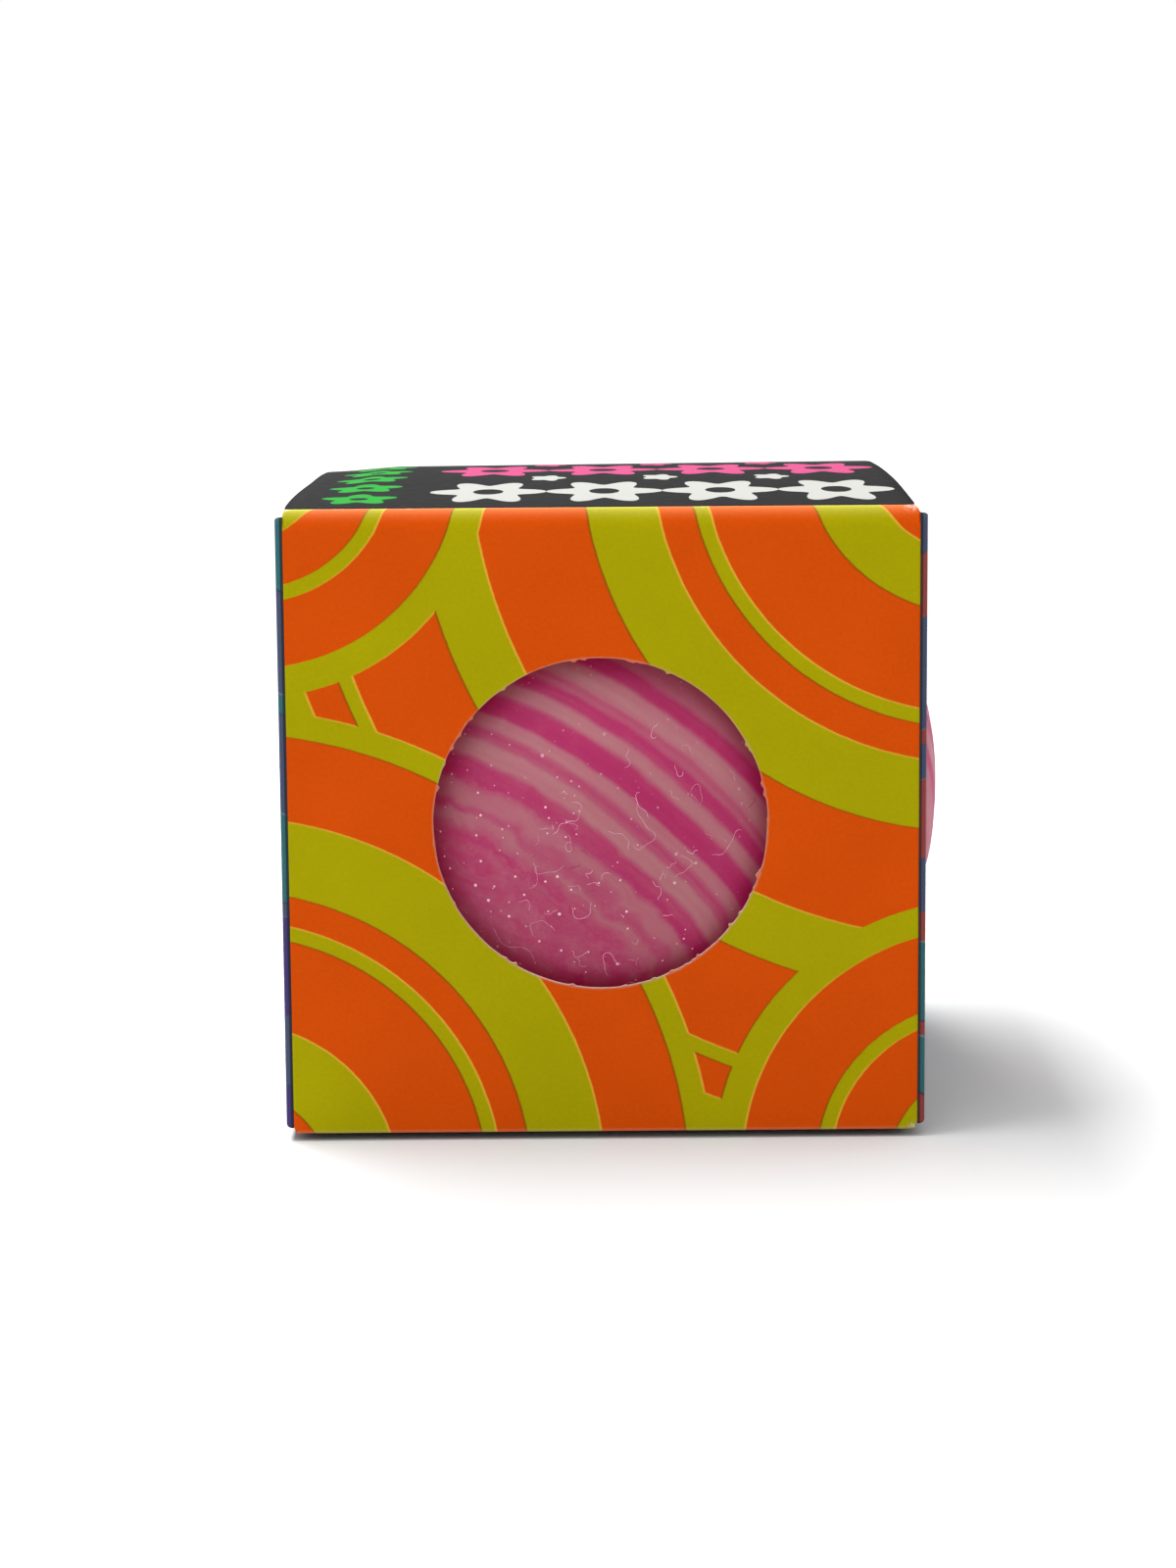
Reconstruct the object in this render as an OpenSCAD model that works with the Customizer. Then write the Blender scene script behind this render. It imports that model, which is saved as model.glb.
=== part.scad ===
// Soft squeeze ball packed in a folding card carton with two round windows.
// The carton stands on z = 0 with its middle on the Z axis. The front faces -Y
// and the second window faces +X. All sizes are in millimetres.

/* [Carton] */
// Outside width, left to right
carton_w = 65; // [64:0.5:70]
// Outside depth, front to back
carton_d = 65; // [64:0.5:70]
// Outside height at the lid's front fold
carton_h = 63.6; // [62:0.2:70]
// Thickness of the card
board = 0.5; // [0.4:0.05:0.55]
// Outer radius of the upright folds
upright_r = 0.8; // [0.7:0.05:1]
// Outer radius of the rolled folds that carry the lid, the base and the dust flaps
rolled_r = 1; // [0.8:0.05:1.2]
// How far the cut corners of the panels run in along a rolled fold
corner_cut = 0.4; // [0.2:0.1:0.8]
// Width of the glue flap
glue_w = 14; // [10:1:16]

/* [Windows] */
// Radius of the round windows in the front and right panels
window_r = 16.8; // [16.6:0.1:18]
// How far the front window sits left of the panel's middle
window_shift = 0.3; // [0:0.1:0.6]

/* [Lid and base] */
// How far the lid and the base stand in from each side
lid_inset = 1.2; // [0.8:0.1:2]
// How far the ball bows the lid up in its middle
lid_bow = 0.7; // [0.3:0.1:1.2]
// Length of the tuck flaps
tuck_l = 12; // [9:0.5:13]
// Lean of the tuck flaps, in from the back panel
tuck_lean = 10; // [10:1:14]
// Corner radius of the tuck flaps
tuck_corner_r = 5; // [3:0.5:7]
// Taper of the tuck flaps at each end of their fold
tuck_inset = 1.5; // [1:0.5:3]

/* [Dust flaps] */
// Length of the dust flaps
dust_l = 25; // [18:0.5:27]
// Drop from the lid's outer face to the dust flaps' outer face
dust_drop = 0.8; // [0.8:0.05:1.2]
// Radius of the dust flaps' corner beside the tuck flap
dust_corner_r = 5; // [3:0.5:8]

/* [Ball] */
// Radius of the ball round its waist
ball_r = 34; // [33:0.1:34.1]
// Shift of the ball towards the right window
ball_shift_x = 2.1; // [1.5:0.1:2.2]
// Shift of the ball towards the front window
ball_shift_y = 0.3; // [0:0.1:0.5]
// Squareness of the pressed ball's outline, where 2 is an ellipse
ball_power = 2.2; // [2:0.05:2.3]
// Thickness of the soft skin
skin_t = 3.4; // [3:0.1:4.5]
// Diameter of the plug in the fill hole
plug_d = 9; // [6:0.5:14]

/* [Hidden] */
$fn = 96;

// Half sizes of the carton and the flat widths between its upright folds
half_w = carton_w / 2;
half_d = carton_d / 2;
front_half = half_w - upright_r;
side_half = half_d - upright_r;
mid_h = carton_h / 2;

// The side panels stop short of the front panel, so the dust flaps lie under the lid
side_low = dust_drop;
side_high = carton_h - dust_drop;

// Gap at each crease where a flap swings, and the air kept round the soft ball
crease_gap = 0.05;
wall_air = 0.4;
flap_air = 0.3;
core_air = 1.4;

// Lid: its front crease, and the crease of its tuck flap
lid_half = half_w - lid_inset;
lid_fold_y = rolled_r - half_d;
tuck_r = upright_r;
tuck_air = 0.5;
tuck_fold_y = half_d - board - tuck_air - tuck_r;
lid_front = lid_fold_y + crease_gap;
lid_back = tuck_fold_y - crease_gap;
lid_chord = lid_back - lid_front;
lid_arc_r = (lid_chord * lid_chord / 4 + lid_bow * lid_bow) / (2 * lid_bow);
arc_fn = 360;

// Dust flaps: fold line, and the ends of the fold counted from the lid's front crease
dust_fold_x = half_w - rolled_r;
dust_near = 1.2;
dust_far = carton_d - 6;
dust_end_slope = 4;
corner_steps = 8;

// Back panel stops below the lid's outer face, the glue flap below the rolled folds
back_drop = 0.3;
glue_end = 3;
glue_taper = 5;

// Ball: half height between the dust flaps, and the steps of its outline
ball_half_h = mid_h - dust_drop - board - flap_air;
outline_steps = 40;
plug_fit = 0.03;
plug_recess = 0.2;
plug_chamfer = 0.4;

card_warm = "#cf5a12";
card_cool = "#3d5a78";
card_dark = "#3a393b";
card_raw = "#b9aa98";
ball_pink = "#c23a86";
dough = "#e9d9dc";

// Points of a rounded corner about its own centre, between two angles
function corner_arc(r, from, to) = [
    for (i = [0 : corner_steps])
        let (a = from + (to - from) * i / corner_steps) r * [cos(a), sin(a)]
];

// Part of a ring of card round a fold, between two angles
module card_ring(r, from, to) {
    intersection() {
        difference() {
            circle(r);
            circle(r - board);
        }
        polygon([[0, 0], for (a = [from, (from + to) / 2, to]) 2 * r * [cos(a), sin(a)]]);
    }
}

// Side view of a panel whose outer face is at -face, rolled inwards at both ends
module rolled_profile(face, low, high) {
    translate([-face, low + rolled_r]) square([board, high - low - 2 * rolled_r]);
    translate([rolled_r - face, high - rolled_r]) card_ring(rolled_r, 90, 180);
    translate([rolled_r - face, low + rolled_r]) card_ring(rolled_r, 180, 270);
}

// Front view of a panel whose four corners are cut
module cut_corner_outline(half, low, high) {
    in = half - corner_cut;
    polygon([
        [-half, low + rolled_r], [-in, low], [in, low], [half, low + rolled_r],
        [half, high - rolled_r], [in, high], [-in, high], [-half, high - rolled_r]
    ]);
}

// Panel facing -Y, with rolled folds along its top and bottom
module rolled_panel(half, face, low, high) {
    intersection() {
        rotate([90, 0, 90]) linear_extrude(2 * half, center = true) rolled_profile(face, low, high);
        rotate([90, 0, 0]) linear_extrude(2 * face + 1, center = true) cut_corner_outline(half, low, high);
    }
}

// Round window through a panel facing -Y
module window_cut(x, face) {
    translate([x, -face - 1, mid_h]) rotate([-90, 0, 0]) cylinder(r = window_r, h = board + 2);
}

// Upright fold of the right panel at its front, or mirrored at its back
module upright_fold() {
    translate([front_half, -side_half, side_low])
        linear_extrude(side_high - side_low) card_ring(upright_r, -90, 0);
}

// Side panel on the +X side, without folds at its upright edges
module side_panel() {
    rotate([0, 0, 90]) rolled_panel(side_half, half_w, side_low, side_high);
}

// Turns a flap of the lid into the same flap of the base
module at_base() {
    translate([0, 0, carton_h]) mirror([0, 0, 1]) children();
}

// Outline of the tuck flap, hanging down from its fold, with rounded free corners
module tuck_outline() {
    half = lid_half - tuck_inset;
    corner = [half - tuck_corner_r, tuck_corner_r - tuck_l];
    right_side = [[half, tuck_r], for (p = corner_arc(tuck_corner_r, 0, -90)) corner + p];
    polygon([each right_side, for (i = [len(right_side) - 1 : -1 : 0]) [-right_side[i].x, right_side[i].y]]);
}

// Side view of the tuck flap: its fold, then the tongue leaning in from the back panel
module tuck_profile() {
    card_ring(tuck_r, -tuck_lean, 90);
    rotate(-tuck_lean) translate([tuck_r - board, -tuck_l]) square([board, tuck_l]);
}

// Tuck flap of the lid
module tuck_flap() {
    translate([0, tuck_fold_y, carton_h - tuck_r]) intersection() {
        rotate([90, 0, 90]) linear_extrude(2 * lid_half, center = true) tuck_profile();
        rotate([90, 0, 0]) linear_extrude(4 * tuck_l, center = true) tuck_outline();
    }
}

// Dust flap on the +X side: mitred towards the lid's crease, so that both can swing
module dust_flap() {
    near = lid_fold_y + dust_near;
    far = lid_fold_y + dust_far;
    tip = dust_fold_x - dust_l;
    corner = [tip + dust_corner_r, far - dust_end_slope - dust_corner_r];
    translate([0, 0, side_high - board]) linear_extrude(board) polygon([
        [dust_fold_x - crease_gap, near],
        [dust_fold_x - crease_gap, far],
        for (p = corner_arc(dust_corner_r, 90, 180)) corner + p,
        [tip, near + dust_l]
    ]);
}

// Half outline of the pressed ball: a superellipse, wide r and half_h high
module pressed_outline(r, half_h) {
    polygon([
        for (i = [0 : outline_steps])
            let (
                a = -90 + 180 * i / outline_steps,
                reach = pow(pow(cos(a) / r, ball_power) + pow(abs(sin(a)) / half_h, ball_power), -1 / ball_power)
            )
            [i % outline_steps == 0 ? 0 : reach * cos(a), reach * sin(a)]
    ]);
}

// Pressed ball drawn in by inset, flat where it lies against the left and back panels.
// It reaches out as far as reach_x at the right window and reach_y at the front window.
module pressed_ball(inset, reach_x, reach_y) {
    left = inset + wall_air + board - half_w;
    back = half_d - board - wall_air - inset;
    intersection() {
        translate([ball_shift_x, -ball_shift_y, mid_h])
            rotate_extrude() pressed_outline(ball_r - inset, ball_half_h - inset);
        translate([left, -reach_y, 0]) cube([reach_x - left, reach_y + back, carton_h]);
    }
}

// Filling: held in enough at the windows to rise past the open lid and dust flaps
module filling_shape() {
    pressed_ball(skin_t, half_w - board - core_air, half_d - board - core_air);
}

// Place of the fill plug, at the middle of the ball's underside
module at_plug() {
    translate([ball_shift_x, -ball_shift_y, mid_h - ball_half_h]) children();
}

module front_panel() {
    color(card_warm) difference() {
        rolled_panel(front_half, half_d, 0, carton_h);
        window_cut(-window_shift, half_d);
    }
}

module right_panel() {
    color(card_cool) {
        difference() {
            side_panel();
            rotate([0, 0, 90]) window_cut(0, half_w);
        }
        upright_fold();
        mirror([0, 1, 0]) upright_fold();
    }
}

module back_panel() {
    left = board + upright_r - half_w;
    color(card_warm) translate([left, half_d - board, 0])
        cube([front_half - left, board, carton_h - back_drop]);
}

module left_panel() {
    color(card_cool) mirror([1, 0, 0]) {
        side_panel();
        upright_fold();
    }
}

module glue_flap() {
    inner = half_w - board;
    low = glue_end;
    high = carton_h - glue_end;
    color(card_raw) {
        translate([upright_r - inner, side_half, low])
            linear_extrude(high - low) card_ring(upright_r, 90, 180);
        translate([-inner, 0, 0]) rotate([90, 0, 90]) linear_extrude(board) polygon([
            [side_half, low], [side_half, high],
            [side_half - glue_w, high - glue_taper], [side_half - glue_w, low + glue_taper]
        ]);
    }
}

module lid_panel() {
    crest = carton_h + lid_bow;
    color(card_dark) rotate([90, 0, 90]) linear_extrude(2 * lid_half, center = true) intersection() {
        translate([(lid_front + lid_back) / 2, crest - lid_arc_r]) difference() {
            circle(lid_arc_r, $fn = arc_fn);
            circle(lid_arc_r - board, $fn = arc_fn);
        }
        translate([lid_front, mid_h]) square([lid_chord, carton_h]);
    }
}

module lid_tuck_flap() {
    color(card_dark) tuck_flap();
}

module lid_dust_flap_left() {
    color(card_cool) mirror([1, 0, 0]) dust_flap();
}

module lid_dust_flap_right() {
    color(card_cool) dust_flap();
}

module base_panel() {
    color(card_dark) translate([-lid_half, lid_front, 0]) cube([2 * lid_half, lid_chord, board]);
}

module base_tuck_flap() {
    color(card_dark) at_base() tuck_flap();
}

module base_dust_flap_left() {
    color(card_cool) at_base() mirror([1, 0, 0]) dust_flap();
}

module base_dust_flap_right() {
    color(card_cool) at_base() dust_flap();
}

module ball_skin() {
    color(ball_pink) difference() {
        pressed_ball(0, carton_w, carton_d);
        filling_shape();
        at_plug() translate([0, 0, -1]) cylinder(d = plug_d, h = skin_t + 2);
    }
}

module ball_filling() {
    color(dough) filling_shape();
}

module fill_plug() {
    r = plug_d / 2 - plug_fit;
    top = skin_t - crease_gap;
    color(ball_pink) at_plug() rotate_extrude() polygon([
        [0, plug_recess], [r - plug_chamfer, plug_recess], [r, plug_recess + plug_chamfer], [r, top], [0, top]
    ]);
}

front_panel();
right_panel();
back_panel();
left_panel();
glue_flap();
lid_panel();
lid_tuck_flap();
lid_dust_flap_left();
lid_dust_flap_right();
base_panel();
base_tuck_flap();
base_dust_flap_left();
base_dust_flap_right();
ball_skin();
ball_filling();
fill_plug();
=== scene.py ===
"""Marbled squeeze ball, packed in a small folding carton with two round windows.

Lengths inside the classes are millimetres in the shared frame: the origin is the middle of the base
face, +Z is up, the front panel faces -Y and the second window faces +X.
"""
import logging
import math
from dataclasses import dataclass
from enum import Enum
from typing import Sequence

import bpy
import numpy as np
from mathutils import Euler, Matrix


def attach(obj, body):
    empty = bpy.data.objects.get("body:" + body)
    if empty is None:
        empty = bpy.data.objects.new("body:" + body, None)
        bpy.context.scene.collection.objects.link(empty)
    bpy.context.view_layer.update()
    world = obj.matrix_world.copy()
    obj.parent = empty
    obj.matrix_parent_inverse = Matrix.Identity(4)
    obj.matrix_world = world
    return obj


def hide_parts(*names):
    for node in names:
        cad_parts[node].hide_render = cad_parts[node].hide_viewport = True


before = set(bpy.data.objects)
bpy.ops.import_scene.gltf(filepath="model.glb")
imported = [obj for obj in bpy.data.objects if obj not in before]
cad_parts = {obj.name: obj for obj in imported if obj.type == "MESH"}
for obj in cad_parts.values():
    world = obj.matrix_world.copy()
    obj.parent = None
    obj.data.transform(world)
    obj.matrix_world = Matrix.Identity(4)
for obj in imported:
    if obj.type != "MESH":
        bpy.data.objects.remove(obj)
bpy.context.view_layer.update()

Array = np.ndarray
Colour = tuple[float, float, float]
Point = tuple[float, float, float]
Material = bpy.types.Material
Object = bpy.types.Object
Socket = bpy.types.NodeSocket
Value = float | Socket
Spots = Sequence[Point]

LOG = logging.getLogger("carton")
MM = 0.001
SEED = 4127
QUARTER = np.pi / 2
NO_TRIS = np.zeros((0, 3), int)
MIRROR = np.array([1.0, 1.0, -1.0])


def linear(red: int, green: int, blue: int) -> Colour:
    """Turn a colour of 0 to 255 as seen on a screen into linear light.

    Args:
        red: red share.
        green: green share.
        blue: blue share.

    Returns:
        The same colour as three linear numbers.
    """
    seen = np.array([red, green, blue]) / 255.0
    light = np.where(seen <= 0.04045, seen / 12.92, ((seen + 0.055) / 1.055) ** 2.4)
    return tuple(float(x) for x in light)


def toned(colour: Colour, factor: float) -> Colour:
    """Make a colour lighter or darker by a factor."""
    return tuple(factor * c for c in colour)


BOARD_PALE = linear(163, 157, 148)
BOARD_GREY = linear(128, 122, 113)
SCUFFED = linear(196, 184, 174)
ORANGE = linear(183, 66, 3)
LIME = linear(145, 138, 1)
NAVY = linear(60, 67, 90)
TEAL = linear(44, 86, 92)
PURPLE = linear(58, 47, 94)
RED = linear(124, 56, 54)
GAP_BLUE = linear(112, 122, 140)
TRAP_BLUE = linear(28, 26, 48)
LAP_INK = linear(30, 34, 30)
CUT_PINK = linear(170, 124, 106)
INK_BLACK = linear(28, 28, 29)
# painted sheen on the black print near the fold between lid and tuck flap
INK_PAINTED_SHEEN = linear(75, 75, 73)
INK_WHITE = linear(146, 146, 142)
INK_PINK = linear(152, 60, 98)
INK_GREEN = linear(34, 122, 44)
PINK_PALE = linear(144, 104, 108)
PINK_MID = linear(140, 75, 97)
PINK_STRONG = linear(140, 34, 85)
PINK_DEEP = linear(137, 22, 81)
# painted glow of the ball's skin, standing in for light passing through the rubber
PINK_PAINTED_GLOW = (0.095, 0.0, 0.006, 1.0)
PINK_HAZE = linear(172, 120, 134)
PINK_DUST = linear(226, 204, 211)
# painted highlight along the top fold, and painted light on the bottom fold
FOLD_PAINTED_HIGHLIGHT = (0.85, 0.85, 0.4)
FOOT_PAINTED_LIGHT = (0.9, 0.62, 0.42)
CARD_SPECK = (0.8, 0.7, 0.6)
BOARD_FLECK = (0.2, 0.16, 0.12)


class Wall(Enum):
    """An upright wall of the carton: the direction that runs along it and the one that points out of it."""

    FRONT = ((1, 0, 0), (0, -1, 0))
    RIGHT = ((0, 1, 0), (1, 0, 0))
    BACK = ((-1, 0, 0), (0, 1, 0))
    LEFT = ((0, -1, 0), (-1, 0, 0))

    def place(self, along: Array, out: Array, up: Array) -> Array:
        """Combine three coordinates of the wall's own frame into points of the shared frame.

        Args:
            along: coordinate along the wall.
            out: coordinate out of the wall, from the carton's axis.
            up: height.

        Returns:
            Points, or directions, with a last axis of three.
        """
        run, face = (np.array(v, float) for v in self.value)
        along, out, up = np.broadcast_arrays(along, out, up)
        return along[..., None] * run + out[..., None] * face + up[..., None] * np.array([0.0, 0.0, 1.0])


class End(Enum):
    """The lid's end of the carton, or the base's, which is the same blank mirrored."""

    LID = 1
    BASE = -1


class Side(Enum):
    """The left or right side, with the sign of its X."""

    LEFT = -1
    RIGHT = 1


class Face(Enum):
    """Faces of a piece of card, in the order of its material slots."""

    PRINT = 0
    INSIDE = 1
    EDGE = 2


@dataclass
class Surface:
    """Points and faces of one skin, with what the finishes read.

    Attributes:
        points: corner points in millimetres.
        quads: four corners per face.
        tris: three corners per face.
        finish: material slot of each face, quads first.
        smooth: whether each face is shaded smooth, quads first.
        sheet: per point, the place on the flat blank (mm) and how worn it is.
    """

    points: Array
    quads: Array
    tris: Array
    finish: Array
    smooth: Array
    sheet: Array

    @staticmethod
    def plain(points: Array, quads: Array, tris: Array = NO_TRIS) -> "Surface":
        """Make a smooth skin of one finish, which has no place on the blank."""
        faces = len(quads) + len(tris)
        return Surface(points, quads, tris, np.zeros(faces, int), np.ones(faces, bool), np.zeros_like(points))

    def flipped(self) -> "Surface":
        """Make the same plain skin with its faces turned round."""
        return Surface.plain(self.points, self.quads[:, ::-1], self.tris[:, ::-1])

    @staticmethod
    def join(parts: Sequence["Surface"]) -> "Surface":
        """Put several skins into one, quads before triangles.

        Args:
            parts: the skins.

        Returns:
            One skin with all their points and faces.
        """
        starts = np.cumsum([0] + [len(p.points) for p in parts])
        tags = [np.split(p.finish, [len(p.quads)]) for p in parts]
        soft = [np.split(p.smooth, [len(p.quads)]) for p in parts]
        return Surface(
            np.concatenate([p.points for p in parts]),
            np.concatenate([p.quads + s for p, s in zip(parts, starts)]),
            np.concatenate([p.tris + s for p, s in zip(parts, starts)]),
            np.concatenate([t[0] for t in tags] + [t[1] for t in tags]),
            np.concatenate([t[0] for t in soft] + [t[1] for t in soft]),
            np.concatenate([p.sheet for p in parts]),
        )

    def to_object(self, name: str, materials: Sequence[Material]) -> Object:
        """Make the Blender object, in metres, with its place in its mesh.

        Args:
            name: the piece's name.
            materials: one for each material slot.

        Returns:
            The object, linked to the scene.
        """
        mesh = bpy.data.meshes.new(name)
        mesh.from_pydata(self.points * MM, [], self.quads.tolist() + self.tris.tolist())
        mesh.polygons.foreach_set("material_index", self.finish.astype(np.int32))
        mesh.polygons.foreach_set("use_smooth", self.smooth.astype(bool))
        place = mesh.attributes.new("sheet", "FLOAT_VECTOR", "POINT")
        place.data.foreach_set("vector", self.sheet.astype(np.float32).ravel())
        for material in materials:
            mesh.materials.append(material)
        mesh.update(calc_edges=True)
        piece = bpy.data.objects.new(name, mesh)
        bpy.context.scene.collection.objects.link(piece)
        return piece


def unit(vectors: Array) -> Array:
    """Scale vectors to a length of 1."""
    return vectors / np.linalg.norm(vectors, axis=-1, keepdims=True)


def stacked(x: Array, y: Array, z: Array) -> Array:
    """Put three coordinates together into points, after broadcasting them."""
    return np.stack(np.broadcast_arrays(x, y, z), -1)


def eased(low: float, high: float, x: Array) -> Array:
    """Rise smoothly from 0 at low to 1 at high."""
    t = np.clip((x - low) / (high - low), 0, 1)
    return t * t * (3 - 2 * t)


def crowded(count: int, share: float) -> Array:
    """Step from 0 towards 1, part evenly and, by a share, as half a cosine wave, which crowds at both ends."""
    even = np.linspace(0, 1, count, endpoint=False)
    return 0.5 - 0.5 * np.cos(np.pi * even) * share - 0.5 * (1 - share) * (1 - 2 * even)


def ripples(a: Array, b: Array, pitch: float, seed: int) -> Array:
    """Add six sine waves of random direction and phase, for unevenness without a pattern.

    Args:
        a: first coordinate, mm.
        b: second coordinate, mm.
        pitch: usual wave length, mm.
        seed: number that fixes the waves.

    Returns:
        Heights of about -1 to 1.
    """
    rng = np.random.default_rng(SEED + seed)
    total = np.zeros(np.broadcast(a, b).shape)
    for heading, phase, stretch in rng.uniform((0, 0, 0.7), (2 * np.pi, 2 * np.pi, 1.6), (6, 3)):
        wave = 2 * np.pi / (pitch * stretch)
        total = total + np.sin(wave * (math.cos(heading) * a + math.sin(heading) * b) + phase)
    return total / 3.2


def lattice(rows: int, cols: int, wrap: bool = False) -> Array:
    """Join a grid of points into quads; with wrap the last row joins the first.

    Args:
        rows: points along the first axis.
        cols: points along the second axis.
        wrap: whether the first axis is a closed loop.

    Returns:
        Four point numbers per quad.
    """
    i = np.arange(rows if wrap else rows - 1)[:, None]
    j = np.arange(cols - 1)[None, :]
    here, beyond = i * cols + j, (i + 1) % rows * cols + j
    return np.stack([here, beyond, beyond + 1, here + 1], -1).reshape(-1, 4)


def rim_loop(rows: int, cols: int, wrap: bool) -> list[Array]:
    """List the border of a grid, in the direction in which its quads wind.

    Args:
        rows: points along the first axis.
        cols: points along the second axis.
        wrap: whether the first axis is a closed loop.

    Returns:
        Closed loops of point numbers.
    """
    i, j = np.arange(rows), np.arange(cols)
    if wrap:
        return [i * cols, i[::-1] * cols + cols - 1]
    there, back = [i[:-1] * cols, (rows - 1) * cols + j[:-1]], [i[:0:-1] * cols + cols - 1, j[:0:-1]]
    return [np.concatenate(there + back)]


def card_shell(outer: Array, normal: Array, sheet: Array, board: float, wrap: bool = False,
               cut: Face = Face.EDGE) -> Surface:
    """Give a printed surface the thickness of card.

    The inside is the outer grid moved inwards along its normals by the board's thickness, and a band of
    flat quads closes each border, as a cut edge.

    Args:
        outer: grid of points of the printed side.
        normal: unit normals of that grid.
        sheet: place on the blank and wear, per point.
        board: thickness of the card.
        wrap: whether the grid's first axis is a closed loop.
        cut: finish of the cut edge.

    Returns:
        A closed skin whose faces carry Face numbers.
    """
    rows, cols = outer.shape[:2]
    count = rows * cols
    flat, away = outer.reshape(-1, 3), normal.reshape(-1, 3)
    quads = lattice(rows, cols, wrap)
    corner = flat[quads]
    turn = np.cross(corner[:, 2] - corner[:, 0], corner[:, 3] - corner[:, 1])
    outward = np.einsum("ij,ij->i", turn, away[quads].mean(1)).sum() > 0
    rims = []
    for loop in rim_loop(rows, cols, wrap):
        a, b = loop, np.roll(loop, -1)
        if not outward:
            a, b = b, a
        rims.append(np.stack([b, a, a + count, b + count], -1))
    rim = np.concatenate(rims)
    face = quads if outward else quads[:, ::-1]
    marks = np.repeat([Face.PRINT.value, Face.INSIDE.value, cut.value], [len(face), len(face), len(rim)])
    return Surface(
        np.concatenate([flat, flat - board * away]),
        np.concatenate([face, face[:, ::-1] + count, rim]),
        NO_TRIS,
        marks,
        np.arange(len(marks)) < 2 * len(face),
        np.tile(sheet.reshape(-1, 3), (2, 1)),
    )


def tube(path: Array, radius: Array, sides: int = 5) -> Surface:
    """Carry a small polygon along each path and close its ends with flat fans.

    At every path point the polygon lies across the path, spanned by two directions square to its tangent.

    Args:
        path: points, with axes of path, step and coordinate.
        radius: half thickness, with axes of path and step.
        sides: corners of the polygon.

    Returns:
        One skin holding every tube.
    """
    count, steps = path.shape[:2]
    tangent = unit(np.gradient(path, axis=1))
    across = unit(np.cross(tangent, np.broadcast_to(np.array([0.31, 0.17, 0.94]), tangent.shape)))
    other = np.cross(tangent, across)
    turn = np.linspace(0, 2 * np.pi, sides, endpoint=False)[:, None, None, None]
    ring = (np.cos(turn) * across + np.sin(turn) * other) * radius[..., None]
    points = np.moveaxis(path[None] + ring, 0, 1)
    offset = (np.arange(count) * sides * steps)[:, None, None]
    fan = np.arange(1, sides - 1)
    head = np.stack([np.zeros_like(fan), fan, fan + 1], -1) * steps
    ends = np.concatenate([head, head[:, ::-1] + steps - 1])
    quads = lattice(sides, steps, wrap=True)[:, ::-1]
    return Surface.plain(
        points.reshape(-1, 3), (quads[None] + offset).reshape(-1, 4), (ends[None] + offset).reshape(-1, 3)
    )


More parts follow.
